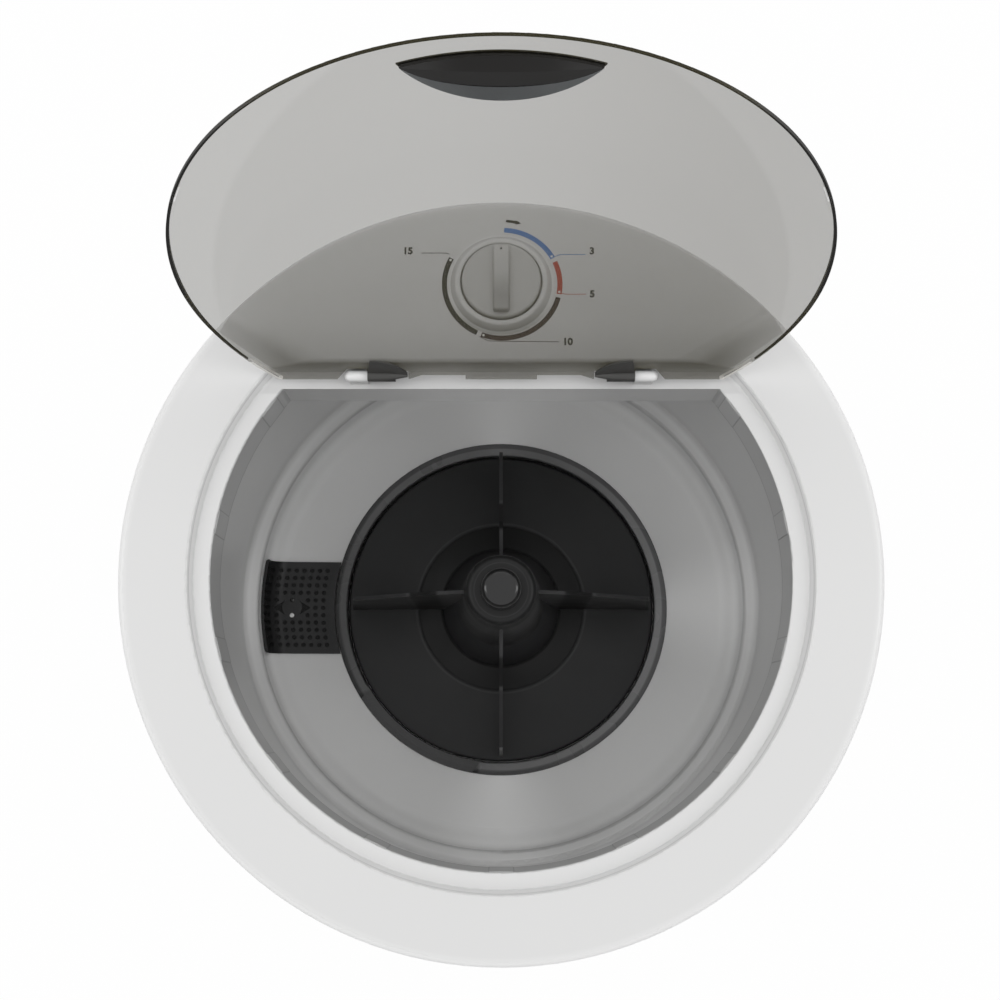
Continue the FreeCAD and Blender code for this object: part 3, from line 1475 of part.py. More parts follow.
nodes = {
    "top_cover": top_cover(),
    "cover_screws": cover_screws(),
    "hinge_pins": hinge_pins(),
    "lid_panel": lid_panel(),
    "lid_handle": lid_handle(),
    "hinge_knuckle_left": hinge_knuckle(-1),
    "hinge_knuckle_right": hinge_knuckle(1),
    "knob": knob(),
    "timer_spindle": timer_spindle(),
    "timer_body": timer_body(),
    "timer_screws": timer_screws(),
    "splash_box": splash_box(),
    "wash_tub": wash_tub(),
    "impeller_ring": impeller_ring(),
    "lint_filter": lint_filter(),
    "drain_hose": drain_hose(),
    "drain_outlet": drain_outlet(),
    "bearing_housing": bearing_housing(),
    "upper_bush": bush(upper_bush_z()),
    "lower_bush": bush(housing_bottom),
    "shaft_seal": shaft_seal(),
    "housing_gasket": housing_gasket(),
    "housing_screws": housing_screws(),
    "drive_shaft": drive_shaft(),
    "shaft_clip": shaft_clip(),
    "large_pulley": large_pulley(),
    "pulley_nut": pulley_nut(),
    "drive_belt": drive_belt(),
    "impeller": impeller(),
    "impeller_cap": impeller_cap(),
    "impeller_screw": impeller_screw(),
    "motor_bracket": motor_bracket(),
    "bracket_screws": bracket_screws(),
    "motor_mounts": motor_mounts(),
    "motor_upper_bell": motor_bell(stator_top, -1),
    "motor_lower_bell": motor_bell(motor_bottom, 1),
    "motor_stator": motor_stator(),
    "motor_windings": motor_windings(),
    "motor_through_bolts": motor_through_bolts(),
    "motor_rotor": motor_rotor(),
    "motor_shaft": motor_shaft(),
    "motor_fan": motor_fan(),
    "motor_pulley": motor_pulley(),
    "capacitor": capacitor(),
    "capacitor_clip": capacitor_clip(),
    "cabinet_shell": cabinet_shell(),
    "base": base(),
    "base_screws": base_screws(),
    "cord_gland": cord_gland(),
}
for corner, degrees in zip(("rear_right", "rear_left", "front_left", "front_right"), corner_degs):
    nodes["foot_" + corner] = foot(degrees)

os.makedirs("parts", exist_ok=True)
for name, shape in nodes.items():
    shape.exportStep("parts/" + name + ".step")
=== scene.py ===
import json
import math

import bmesh
import bpy
import numpy as np
from mathutils import Matrix, Vector


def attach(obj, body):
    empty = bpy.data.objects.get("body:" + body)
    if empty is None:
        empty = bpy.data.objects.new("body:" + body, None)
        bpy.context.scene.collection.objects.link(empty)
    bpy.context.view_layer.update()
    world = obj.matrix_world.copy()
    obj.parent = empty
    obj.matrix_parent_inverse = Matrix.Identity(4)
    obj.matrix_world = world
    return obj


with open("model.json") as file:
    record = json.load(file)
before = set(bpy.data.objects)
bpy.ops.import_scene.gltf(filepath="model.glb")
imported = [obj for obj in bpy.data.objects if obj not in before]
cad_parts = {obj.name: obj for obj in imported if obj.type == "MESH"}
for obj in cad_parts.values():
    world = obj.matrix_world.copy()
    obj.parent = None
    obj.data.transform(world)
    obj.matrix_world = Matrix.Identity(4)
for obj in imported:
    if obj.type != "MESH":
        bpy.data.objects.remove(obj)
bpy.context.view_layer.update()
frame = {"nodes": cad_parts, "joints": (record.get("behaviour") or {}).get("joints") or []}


# Base and feet. The base is a moulded ring in white polypropylene that closes the
# cabinet's lower end; four rubber feet are pegged up through it, and four screws
# hold the cabinet to its upstand.

def new_finish(name, colour, rough, metal=0.0):
    """Material with one shader. Colour, roughness and metalness stand on the shader itself,
    and every pattern reads the Object coordinates that are handed back with it."""
    finish = bpy.data.materials.new(name)
    finish.use_nodes = True
    tree = finish.node_tree
    shader = tree.nodes["Principled BSDF"]
    shader.inputs["Base Color"].default_value = (*colour, 1.0)
    shader.inputs["Roughness"].default_value = rough
    shader.inputs["Metallic"].default_value = metal
    place = tree.nodes.new("ShaderNodeTexCoord").outputs["Object"]
    return finish, tree, shader, place


def cloud(tree, place, size, detail=2.0, stretch=(1.0, 1.0, 1.0)):
    """Noise whose lumps are about a size in metres, stretched along the axes; its height output."""
    mapping = tree.nodes.new("ShaderNodeMapping")
    mapping.inputs["Scale"].default_value = [1.0 / (size * s) for s in stretch]
    noise = tree.nodes.new("ShaderNodeTexNoise")
    noise.inputs["Scale"].default_value = 1.0
    noise.inputs["Detail"].default_value = detail
    tree.links.new(place, mapping.inputs["Vector"])
    tree.links.new(mapping.outputs["Vector"], noise.inputs["Vector"])
    return noise.outputs["Fac"]


def between(tree, height, low, high):
    """Height from 0.3 to 0.7 carried onto the range from low to high."""
    span = tree.nodes.new("ShaderNodeMapRange")
    span.inputs["From Min"].default_value = 0.3
    span.inputs["From Max"].default_value = 0.7
    span.inputs["To Min"].default_value = low
    span.inputs["To Max"].default_value = high
    tree.links.new(height, span.inputs["Value"])
    return span.outputs["Result"]


def tint(tree, shader, height, shade_a, shade_b):
    """Colour that drifts between two near shades with a height."""
    blend = tree.nodes.new("ShaderNodeMix")
    blend.data_type = "RGBA"
    blend.inputs["A"].default_value = (*shade_a, 1.0)
    blend.inputs["B"].default_value = (*shade_b, 1.0)
    tree.links.new(between(tree, height, 0.0, 1.0), blend.inputs["Factor"])
    tree.links.new(blend.outputs["Result"], shader.inputs["Base Color"])


def raise_grain(tree, shader, height, depth):
    """Surface raised by a height times a depth in metres."""
    bump = tree.nodes.new("ShaderNodeBump")
    bump.inputs["Strength"].default_value = 1.0
    bump.inputs["Distance"].default_value = depth
    tree.links.new(height, bump.inputs["Height"])
    tree.links.new(bump.outputs["Normal"], shader.inputs["Normal"])


def moulding(name, shade, rough, grain, depth, drift=0.04, patch=0.08, spread=0.06):
    """Moulded plastic: a fine grain of given lump size and depth, a slow drift of shade and
    patches of slightly duller skin left by the mould."""
    finish, tree, shader, place = new_finish(name, shade, rough)
    slow = cloud(tree, place, patch)
    tint(tree, shader, slow, [c * (1 - drift) for c in shade], [c * (1 + drift) for c in shade])
    tree.links.new(between(tree, slow, rough - spread, rough + spread), shader.inputs["Roughness"])
    raise_grain(tree, shader, cloud(tree, place, grain, 3.0), depth)
    return finish


def dress(finish, *nodes):
    """Gives solids of the frame a finish."""
    for node in nodes:
        for slot in frame["nodes"][node].material_slots:
            slot.material = finish


base_moulding = moulding("base_moulding", (0.70, 0.70, 0.69), rough=0.5, grain=0.0012, depth=0.00004)
foot_rubber = moulding("foot_rubber", (0.018, 0.018, 0.019),
                       rough=0.78, grain=0.0009, depth=0.00008, drift=0.12)
dress(base_moulding, "base", "splash_box")
dress(foot_rubber, "foot_front_left", "foot_front_right", "foot_rear_left", "foot_rear_right")


# Screws, pins, clip and shafts. Zinc-plated or turned steel, with the fine streaks
# that turning and rolling leave along Z.

def drawn_metal(name, shade, rough, streak=(1.0, 1.0, 8.0), size=0.002, depth=0.00003):
    """Bare metal with streaks: noise lumps stretched along one axis set gloss, shade and relief."""
    finish, tree, shader, place = new_finish(name, shade, rough, 1.0)
    lines = cloud(tree, place, size, 4.0, streak)
    tint(tree, shader, lines, [c * 0.88 for c in shade], [min(1.0, c * 1.08) for c in shade])
    tree.links.new(between(tree, lines, rough - 0.1, rough + 0.12), shader.inputs["Roughness"])
    raise_grain(tree, shader, lines, depth)
    return finish


zinc_steel = drawn_metal("zinc_steel", (0.60, 0.61, 0.62), rough=0.34)
dress(zinc_steel, "base_screws", "cover_screws", "housing_screws", "bracket_screws", "timer_screws",
      "hinge_pins", "pulley_nut", "impeller_screw", "motor_through_bolts", "capacitor_clip")
turned_steel = drawn_metal("turned_steel", (0.56, 0.56, 0.57), rough=0.26, streak=(6.0, 6.0, 1.0),
                           size=0.0008)
dress(turned_steel, "drive_shaft", "motor_shaft", "timer_spindle", "shaft_clip")


# Cabinet. A white tapered shell, blow moulded in one piece, slipped up under the top
# cover and down over the base.
gloss_white = moulding("gloss_white", (0.655, 0.655, 0.653),
                       rough=0.3, grain=0.004, depth=0.00001, drift=0.004, patch=0.15, spread=0.01)
dress(gloss_white, "cabinet_shell")


# Wash tub. Pale grey polypropylene with a satin skin, injection moulded with its well
# and drain pocket, hung by its flange between cabinet and cover. Light and shade are painted
# into its colour: the floor is darker between four soft glows on the quarter lines, and
# darker by the well; the ledge round the wall's foot and the wall's upper part are painted
# darker, the front wall lighter.

def from_machine_axis(tree, place):
    """Distance from the machine's upright axis, and the X, Y and Z coordinates."""
    axes = tree.nodes.new("ShaderNodeSeparateXYZ")
    tree.links.new(place, axes.inputs["Vector"])
    flat = tree.nodes.new("ShaderNodeVectorMath")
    flat.operation = "MULTIPLY"
    flat.inputs[1].default_value = (1.0, 1.0, 0.0)
    tree.links.new(place, flat.inputs[0])
    length = tree.nodes.new("ShaderNodeVectorMath")
    length.operation = "LENGTH"
    tree.links.new(flat.outputs["Vector"], length.inputs[0])
    return length.outputs["Value"], axes.outputs["X"], axes.outputs["Y"], axes.outputs["Z"]


def graded(tree, value, stops):
    """Grey that passes through stops (value, grey) along a value, straight between them."""
    first, last = stops[0][0], stops[-1][0]
    span = tree.nodes.new("ShaderNodeMapRange")
    span.inputs["From Min"].default_value = first
    span.inputs["From Max"].default_value = last
    tree.links.new(value, span.inputs["Value"])
    band = tree.nodes.new("ShaderNodeValToRGB")
    elements = band.color_ramp.elements
    while len(elements) < len(stops):
        elements.new(0.5)
    for element, (at, grey) in zip(elements, stops):
        element.position = (at - first) / (last - first)
        element.color = (grey, grey, grey, 1.0)
    tree.links.new(span.outputs["Result"], band.inputs["Fac"])
    return band.outputs["Color"]


def shaded(tree, shader, shade, where=None):
    """Base colour so far, multiplied by a further shade, everywhere or where a mask is 1."""
    if where is not None:
        shade = faded(tree, where, (1.0, 1.0, 1.0), shade)
    blend = tree.nodes.new("ShaderNodeMix")
    blend.data_type = "RGBA"
    blend.blend_type = "MULTIPLY"
    blend.inputs["Factor"].default_value = 1.0
    so_far = shader.inputs["Base Color"].links[0].from_socket
    tree.links.new(so_far, blend.inputs["A"])
    tree.links.new(shade, blend.inputs["B"])
    tree.links.new(blend.outputs["Result"], shader.inputs["Base Color"])


def coordinates(finish):
    """Tree, shader and Object coordinates of a finish made before."""
    tree = finish.node_tree
    place = next(node for node in tree.nodes if node.type == "TEX_COORD").outputs["Object"]
    return tree, tree.nodes["Principled BSDF"], place


def ramp(tree, value, start, end, low, high):
    """Value carried from start..end onto low..high along a smooth step, held beyond both ends."""
    span = tree.nodes.new("ShaderNodeMapRange")
    span.interpolation_type = "SMOOTHSTEP"
    for socket, number in (("From Min", start), ("From Max", end), ("To Min", low), ("To Max", high)):
        span.inputs[socket].default_value = number
    tree.links.new(value, span.inputs["Value"])
    return span.outputs["Result"]


def joined(tree, kind, first, second):
    """Two values, or a value and a number, put together by one operation."""
    node = tree.nodes.new("ShaderNodeMath")
    node.operation = kind
    for place, value in enumerate((first, second)):
        if isinstance(value, float):
            node.inputs[place].default_value = value
        else:
            tree.links.new(value, node.inputs[place])
    return node.outputs["Value"]


def times(tree, *values):
    """Product of values, or of values and numbers."""
    total = values[0]
    for value in values[1:]:
        total = joined(tree, "MULTIPLY", total, value)
    return total


def apart(tree, value, middle):
    """How far a value is from a number, to either side."""
    return joined(tree, "ABSOLUTE", joined(tree, "SUBTRACT", value, middle), 0.0)


def distance(tree, side, up):
    """Length of the slope of a right triangle with two given sides."""
    return joined(tree, "SQRT", joined(tree, "ADD", times(tree, side, side), times(tree, up, up)), 0.0)


def beyond(tree, value, edge, soft):
    """Mask that is 1 past an edge, with a soft half width to either side of it."""
    return ramp(tree, value, edge - soft, edge + soft, 0.0, 1.0)


def short_of(tree, value, edge, soft):
    """Mask that is 1 before an edge, with a soft half width to either side of it."""
    return ramp(tree, value, edge - soft, edge + soft, 1.0, 0.0)


def faded(tree, share, shade_a, shade_b):
    """Colour that goes from a first shade or socket to a second with a share from 0 to 1."""
    blend = tree.nodes.new("ShaderNodeMix")
    blend.data_type = "RGBA"
    for socket, shade in (("A", shade_a), ("B", shade_b)):
        if isinstance(shade, tuple):
            blend.inputs[socket].default_value = (*shade, 1.0)
        else:
            tree.links.new(shade, blend.inputs[socket])
    tree.links.new(share, blend.inputs["Factor"])
    return blend.outputs["Result"]


tub_satin = moulding("tub_satin", (0.95, 0.95, 0.945),
                     rough=0.4, grain=0.0025, depth=0.00002, drift=0.01, patch=0.12, spread=0.06)
tub_tree, tub_shader, tub_place = coordinates(tub_satin)
_, tub_x, tub_y, tub_height = from_machine_axis(tub_tree, tub_place)
quarter = math.pi / 2
quarters = joined(tub_tree, "DIVIDE", joined(tub_tree, "ARCTAN2", tub_y, tub_x), quarter)
from_quarter = times(tub_tree, joined(tub_tree, "PINGPONG", quarters, 0.5), quarter)
# Painted light of four soft glows: the floor is a little lighter on the quarter lines and darker between
# them, most at the front.
between_glows = times(tub_tree, short_of(tub_tree, tub_height, 0.485, 0.015),
               ramp(tub_tree, from_quarter, 0.0, 0.36, 0.0, 1.0))
painted_floor_shade = graded(tub_tree, tub_y, [(0.0000, 0.84), (0.0900, 0.86), (0.1300, 0.93)])
shaded(tub_tree, tub_shader, faded(tub_tree, between_glows, (1.02, 1.02, 1.02), painted_floor_shade))
# Painted shade by height: darker low on the floor by the well, on the ledge round the wall's foot, and up the
# wall towards its top.
shaded(tub_tree, tub_shader, graded(tub_tree, tub_height, [
    (0.4280, 0.805), (0.4340, 1.0), (0.4610, 1.0), (0.4650, 0.66), (0.4710, 0.66), (0.4770, 0.80),
    (0.6000, 0.74), (0.7200, 0.58)]))
# Painted light on the wall: lighter at the front, a little lighter at the back.
painted_wall_light = graded(tub_tree, tub_y, [
    (-0.2000, 1.3), (-0.1600, 1.24), (-0.0800, 0.97), (0.0600, 0.95), (0.1400, 1.04)])
shaded(tub_tree, tub_shader, painted_wall_light, beyond(tub_tree, tub_height, 0.475, 0.005))
dress(tub_satin, "wash_tub")


# Top cover. White moulding with its ring, recess, mouth and deck in one; its mouth's skirt
# is clipped to the tub by eleven tabs. Light and shade are painted into its colour: shade on
# the skirt, in the tabs' slits and along its lower edge, highlights and shade on the recess's
# side, a highlight on the collar's crest round the knob and shade at its foot, the lid's
# shade on the deck and on the ledge behind the mouth, light and shade on the low parts
# behind the mouth, and light on the rim's outer round.
knob_joint = next(joint for joint in frame["joints"] if joint["name"] == "knob_turn")
dial_centre = np.array(knob_joint["pos_m"], float)
deck_normal = np.array(knob_joint["axis"], float)
deck_tilt = math.atan2(deck_normal[1], deck_normal[2])
skirt_bottom, skirt_top, skirt_radius = 0.7070, 0.7515, 0.189
mouth_back, deck_foot = 0.119, 0.7603
tab_pitch, tab_half = math.radians(25.25), 0.0428


def dial_axes(tree, place):
    """Distance from the knob's axis, then across, up the slope and off the deck."""
    turn = tree.nodes.new("ShaderNodeMapping")
    turn.inputs["Rotation"].default_value = (deck_tilt, 0.0, 0.0)
    turn.inputs["Location"].default_value = -(Matrix.Rotation(deck_tilt, 3, "X") @ Vector(dial_centre))
    tree.links.new(place, turn.inputs["Vector"])
    return from_machine_axis(tree, turn.outputs["Vector"])


cover_gloss = moulding("cover_gloss", (0.655, 0.655, 0.653),
                       rough=0.3, grain=0.004, depth=0.00001, drift=0.004, patch=0.15, spread=0.01)
cover_tree, cover_shader, cover_place = coordinates(cover_gloss)
cover_radius, cover_x, cover_y, cover_z = from_machine_axis(cover_tree, cover_place)
behind_mouth = beyond(cover_tree, cover_y, mouth_back, 0.001)

# Painted highlights and shade on the recess's side: the ledge darkens towards the step, then two light bands
# with a dark line between.
painted_step_light = graded(cover_tree, cover_radius, [
    (0.1855, 1.0), (0.1880, 0.97), (0.1965, 0.92), (0.1978, 0.95), (0.1985, 1.2), (0.1995, 1.25),
    (0.1999, 0.95), (0.2003, 1.25), (0.2010, 1.12), (0.2016, 1.0)])
shaded(cover_tree, cover_shader, painted_step_light, short_of(cover_tree, cover_z, deck_foot, 0.0002))

# Painted shade: the skirt is darker, and darker still in thin lines at the tabs' slits and along its lower
# edge.
from_front = joined(cover_tree, "ARCTAN2", cover_x, times(cover_tree, cover_y, -1.0))
tabs = joined(cover_tree, "DIVIDE", from_front, tab_pitch)
from_tab = times(cover_tree, joined(cover_tree, "PINGPONG", tabs, 0.5), tab_pitch)
painted_slit_shade = joined(cover_tree, "MAXIMUM",
              short_of(cover_tree, apart(cover_tree, from_tab, tab_half), 0.0020, 0.0008),
              short_of(cover_tree, cover_z, skirt_bottom + 0.0018, 0.0006))
on_skirt = times(cover_tree, short_of(cover_tree, cover_z, skirt_top - 0.0005, 0.0005),
                 short_of(cover_tree, cover_radius, skirt_radius, 0.0005),
                 short_of(cover_tree, cover_y, mouth_back, 0.001))
shaded(cover_tree, cover_shader, (0.89, 0.89, 0.89), on_skirt)
shaded(cover_tree, cover_shader, (0.66, 0.66, 0.66), times(cover_tree, painted_slit_shade, on_skirt))

# A painted highlight on the collar's crest round the knob, and painted shade at its foot on the lower side.
collar_radius, _, collar_up, _ = dial_axes(cover_tree, cover_place)
shaded(cover_tree, cover_shader, graded(cover_tree, collar_radius, [
    (0.0263, 1.0), (0.0290, 1.16), (0.0318, 1.12), (0.0345, 1.0)]))
painted_collar_shade = times(cover_tree, short_of(cover_tree, collar_up, -0.022, 0.010),
                    short_of(cover_tree, collar_radius, 0.03525, 0.00075),
                    beyond(cover_tree, collar_radius, 0.0310, 0.0025))
shaded(cover_tree, cover_shader, (0.62, 0.62, 0.62), painted_collar_shade)

# Painted shade of the lid on the deck: darkest just behind its front edge and lighter going back; the narrow
# front edge is painted lighter.
painted_deck_shade = graded(cover_tree, cover_y, [
    (0.1200, 1.2), (0.1310, 1.2), (0.1340, 0.79), (0.1600, 0.95), (0.2350, 0.98)])
shaded(cover_tree, cover_shader, painted_deck_shade, beyond(cover_tree, cover_z, deck_foot, 0.0002))

# Painted shade on the ledge behind the mouth, under the lid.
painted_ledge_shade = times(cover_tree, behind_mouth, short_of(cover_tree, cover_radius, 0.19625, 0.00125),
                   beyond(cover_tree, cover_z, 0.7513, 0.0003),
                   short_of(cover_tree, cover_z, 0.7600, 0.0002))
shaded(cover_tree, cover_shader, (0.88, 0.88, 0.88), painted_ledge_shade)
# Painted light and shade on the cover's low parts behind the mouth: lighter in the middle, darker towards the
# sides.
rear_skirt = times(cover_tree, short_of(cover_tree, cover_z, 0.7511, 0.0003),
                   beyond(cover_tree, cover_y, mouth_back + 0.001, 0.001))
painted_rear_light = graded(cover_tree, apart(cover_tree, cover_x, 0.0), [
    (0.0000, 1.48), (0.0450, 1.36), (0.0770, 1.12), (0.1100, 0.80), (0.1300, 0.76)])
shaded(cover_tree, cover_shader, painted_rear_light, rear_skirt)

# Painted light on the rim's outer round, growing towards the outer edge.
painted_rim_light = graded(cover_tree, cover_radius, [
    (0.2385, 1.0), (0.2415, 1.06), (0.2440, 1.3), (0.2450, 1.4)])
shaded(cover_tree, cover_shader, painted_rim_light, beyond(cover_tree, cover_z, 0.753, 0.003))
dress(cover_gloss, "top_cover")


# Drive under the tub. A cast housing with two sintered bushes carries the shaft; a vee
# belt joins the cast pulleys; seal, gasket and mounts are rubber.
cast_alloy = moulding("cast_alloy", (0.52, 0.52, 0.53),
                      rough=0.45, grain=0.0022, depth=0.00018, drift=0.08, patch=0.02, spread=0.1)
cast_alloy.node_tree.nodes["Principled BSDF"].inputs["Metallic"].default_value = 1.0
dress(cast_alloy, "bearing_housing", "large_pulley", "motor_pulley", "motor_upper_bell", "motor_lower_bell")
sintered_bronze = drawn_metal("sintered_bronze", (0.50, 0.33, 0.15), rough=0.4, streak=(1.0, 1.0, 1.0),
                              size=0.0006)
dress(sintered_bronze, "upper_bush", "lower_bush")
belt_rubber = moulding("belt_rubber", (0.022, 0.022, 0.023),
                       rough=0.7, grain=0.0012, depth=0.00015, drift=0.15, patch=0.01)
dress(belt_rubber, "drive_belt", "housing_gasket", "shaft_seal", "motor_mounts")
dip_paint = moulding("dip_paint", (0.15, 0.15, 0.16),
                     rough=0.38, grain=0.006, depth=0.0001, drift=0.06, patch=0.04)
dress(dip_paint, "motor_bracket")


# Motor. Stacked steel laminations between cast bells, enamelled copper end turns, a
# moulded fan and a cream capacitor in its case.

def banded(name, shade, rough, pitch, depth, metal):
    """Stack of thin layers along Z: sine bands of a pitch darken the joints and sink them."""
    finish, tree, shader, place = new_finish(name, shade, rough, metal)
    bands = tree.nodes.new("ShaderNodeTexWave")
    bands.bands_direction = "Z"
    bands.inputs["Scale"].default_value = 0.314159 / pitch
    bands.inputs["Distortion"].default_value = 0.4
    bands.inputs["Detail Scale"].default_value = 0.5 / pitch
    tree.links.new(place, bands.inputs["Vector"])
    tint(tree, shader, bands.outputs["Fac"], [c * 0.6 for c in shade], shade)
    raise_grain(tree, shader, bands.outputs["Fac"], depth)
    return finish


steel_stack = banded("steel_stack", (0.36, 0.36, 0.38), rough=0.45, pitch=0.0010, depth=0.0001, metal=1.0)
dress(steel_stack, "motor_stator", "motor_rotor")
copper_wire = banded("copper_wire", (0.58, 0.25, 0.11), rough=0.3, pitch=0.0009, depth=0.0003, metal=1.0)
dress(copper_wire, "motor_windings")
fan_moulding = moulding("fan_moulding", (0.045, 0.045, 0.047),
                        rough=0.5, grain=0.001, depth=0.00005, drift=0.1)
dress(fan_moulding, "motor_fan")
cream_case = moulding("cream_case", (0.66, 0.62, 0.52), rough=0.42, grain=0.001, depth=0.00005, drift=0.05)
dress(cream_case, "capacitor")


# Drain. A ribbed grey hose runs from the tub's spout to a black fitting in the
# cabinet's left side; a bush for the mains lead sits in the back.
hose_rubber = banded("hose_rubber", (0.24, 0.24, 0.25), rough=0.55, pitch=0.005, depth=0.0012, metal=0.0)
dress(hose_rubber, "drain_hose")
black_fitting = moulding("black_fitting", (0.028, 0.028, 0.029),
                         rough=0.45, grain=0.0008, depth=0.00006, drift=0.12)
dress(black_fitting, "drain_outlet", "cord_gland", "timer_body")


# Impeller, its cap, the trim ring and the lint filter. Charcoal polypropylene with a satin
# skin. The disc's outer field is a lighter grey than the field round the hub; the hub's foot
# and the step's wall are painted lighter against their shade, the hub's top is painted
# darker, and a thin ring of its shoulder carries a painted highlight. The ring is a greyer
# moulding painted with light that changes round it, and with shade on its flat stretch
# and its outer slope.
charcoal_satin = moulding("charcoal_satin", (1.0, 1.0, 1.03),
                          rough=0.42, grain=0.002, depth=0.00004, drift=0.1, patch=0.05, spread=0.06)
satin_tree, satin_shader, satin_place = coordinates(charcoal_satin)
satin_shader.inputs["Specular IOR Level"].default_value = 0.3
satin_radius, _, _, satin_height = from_machine_axis(satin_tree, satin_place)
# Lighter on the hub's foot and on the step's wall, painted light against their shade; the field between them
# is darker, the outer field a lighter grey.
shaded(satin_tree, satin_shader, graded(satin_tree, satin_radius, [
    (0.0200, 0.045), (0.0450, 0.040), (0.0475, 0.005), (0.0660, 0.005), (0.0676, 0.050), (0.0690, 0.050),
    (0.0700, 0.030), (0.1240, 0.028)]))
# Painted shade: the hub's top, above 0.62 m, is much darker.
shaded(satin_tree, satin_shader, graded(satin_tree, satin_height, [
    (0.40, 1.0), (0.60, 1.0), (0.62, 0.12), (0.66, 0.12)]))
# Painted highlight: a thin lighter ring on the hub's shoulder.
painted_shoulder_light = times(satin_tree, beyond(satin_tree, satin_height, 0.615, 0.005),
                      beyond(satin_tree, satin_radius, 0.0188, 0.0002),
                      short_of(satin_tree, satin_radius, 0.0196, 0.0002))
shaded(satin_tree, satin_shader, (3.2, 3.2, 3.2), painted_shoulder_light)
dress(charcoal_satin, "impeller")

cap_gloss = moulding("cap_gloss", (0.006, 0.006, 0.0062),
                     rough=0.11, grain=0.003, depth=0.00001, drift=0.1, patch=0.04, spread=0.04)
dress(cap_gloss, "impeller_cap")

ring_gloss = moulding("ring_gloss", (1.0, 1.0, 1.01),
                      rough=0.28, grain=0.003, depth=0.00003, drift=0.08, patch=0.04, spread=0.05)
ring_tree, ring_shader, ring_place = coordinates(ring_gloss)
ring_radius, ring_x, ring_y, _ = from_machine_axis(ring_tree, ring_place)
flat_from, flat_to, flat_end = math.radians(-148.5), math.radians(-98.5), 0.01
# Painted light that changes round the ring, lightest on the right and darkest on the left; painted shade on
# its flat stretch.
shaded(ring_tree, ring_shader, graded(ring_tree, joined(ring_tree, "ARCTAN2", ring_y, ring_x), [
    (-math.pi, 0.066), (flat_from - flat_end, 0.07), (flat_from, 0.016), (flat_to, 0.016),
    (flat_to + flat_end, 0.115), (-1.2, 0.15), (-0.7, 0.18), (-0.1, 0.24), (0.4, 0.21), (0.9, 0.165),
    (1.57, 0.18), (2.0, 0.17), (2.4, 0.13), (2.8, 0.08), (math.pi, 0.066)]))
# Painted shade on the ring's outer slope.
shaded(ring_tree, ring_shader, graded(ring_tree, ring_radius, [
    (0.1240, 1.0), (0.1304, 1.0), (0.1312, 0.55), (0.1340, 0.55)]))
dress(ring_gloss, "impeller_ring")

filter_satin = moulding("filter_satin", (0.020, 0.020, 0.0205),
                        rough=0.42, grain=0.002, depth=0.00004, drift=0.12, patch=0.05, spread=0.06)
filter_satin.node_tree.nodes["Principled BSDF"].inputs["Specular IOR Level"].default_value = 0.3
dress(filter_satin, "lint_filter")


# Lint filter's gauze and its two pegs. A fine dark net is welded under the perforated
# plate and follows it up the tub's wall; a white and a black peg pin it at its middle.

def skin(name, grid, body, finish):
    """Closed piece from a grid of points: rows are rings of one profile carried along a path,
    each ring closes on itself, and the first and last ring are closed by a cap."""
    rows, ring = grid.shape[:2]
    index = np.arange(rows * ring).reshape(rows, ring)
    turned_on = np.roll(index, -1, axis=1)
    quads = np.stack([index[:-1], turned_on[:-1], turned_on[1:], index[1:]], axis=-1).reshape(-1, 4)
    mesh = bpy.data.meshes.new(name)
    mesh.from_pydata(grid.reshape(-1, 3).tolist(), [], quads.tolist()
                     + [index[0][::-1].tolist(), index[-1].tolist()])
    mesh.update()
    return placed(name, mesh, body, finish)


def placed(name, mesh, body, finish):
    """Object for a finished mesh, riding on a body with its slot and finish."""
    piece = bpy.data.objects.new(name, mesh)
    bpy.context.scene.collection.objects.link(piece)
    mesh.materials.append(finish)
    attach(piece, body)
    return piece


tub_floor, tub_wall = 0.422, 0.192
well_edge, floor_climb = 0.1289, 0.007
foot_round = 0.017
gauze_start, gauze_top, gauze_half = 0.1351, 0.4505, 0.0345
gauze_inset, gauze_thick, plate_face = 0.0009, 0.0004, 0.0027
floor_slope = math.atan2(floor_climb, tub_wall - well_edge)


def tub_line(inset, top):
    """Radius and height of a line drawn in from the tub's skin by an inset: up the sloping floor,
    round the foot of the wall on an arc tangent to both, and straight up to a height."""
    bend = foot_round - inset
    reach = tub_wall - inset - bend
    lift = tub_floor + inset / math.cos(floor_slope)
    centre_z = lift + (reach - well_edge) * math.tan(floor_slope) + bend / math.cos(floor_slope)
    start = np.linspace(gauze_start, reach + bend * math.sin(floor_slope), 9)[:-1]
    sweep = np.linspace(floor_slope - math.pi / 2, 0.0, 12)
    radius = np.concatenate([start, reach + bend * np.cos(sweep), [reach + bend]])
    height = np.concatenate([lift + (start - well_edge) * math.tan(floor_slope),
                             centre_z + bend * np.sin(sweep), [top]])
    return radius, height


def gauze_grid(half_length, count):
    """Thin closed strip: the tub's line at two insets makes a ring, carried along Y; each point
    keeps its radius from the machine's axis, so the net bends like the plate above it."""
    lower = tub_line(gauze_inset, gauze_top)
    upper = tub_line(gauze_inset + gauze_thick, gauze_top)
    radius = np.concatenate([lower[0], upper[0][::-1]])
    height = np.concatenate([lower[1], upper[1][::-1]])
    y = np.linspace(-half_length, half_length, count)[:, None]
    x = -np.sqrt(radius ** 2 - y ** 2)
    return np.stack(np.broadcast_arrays(x, y, height), axis=-1)


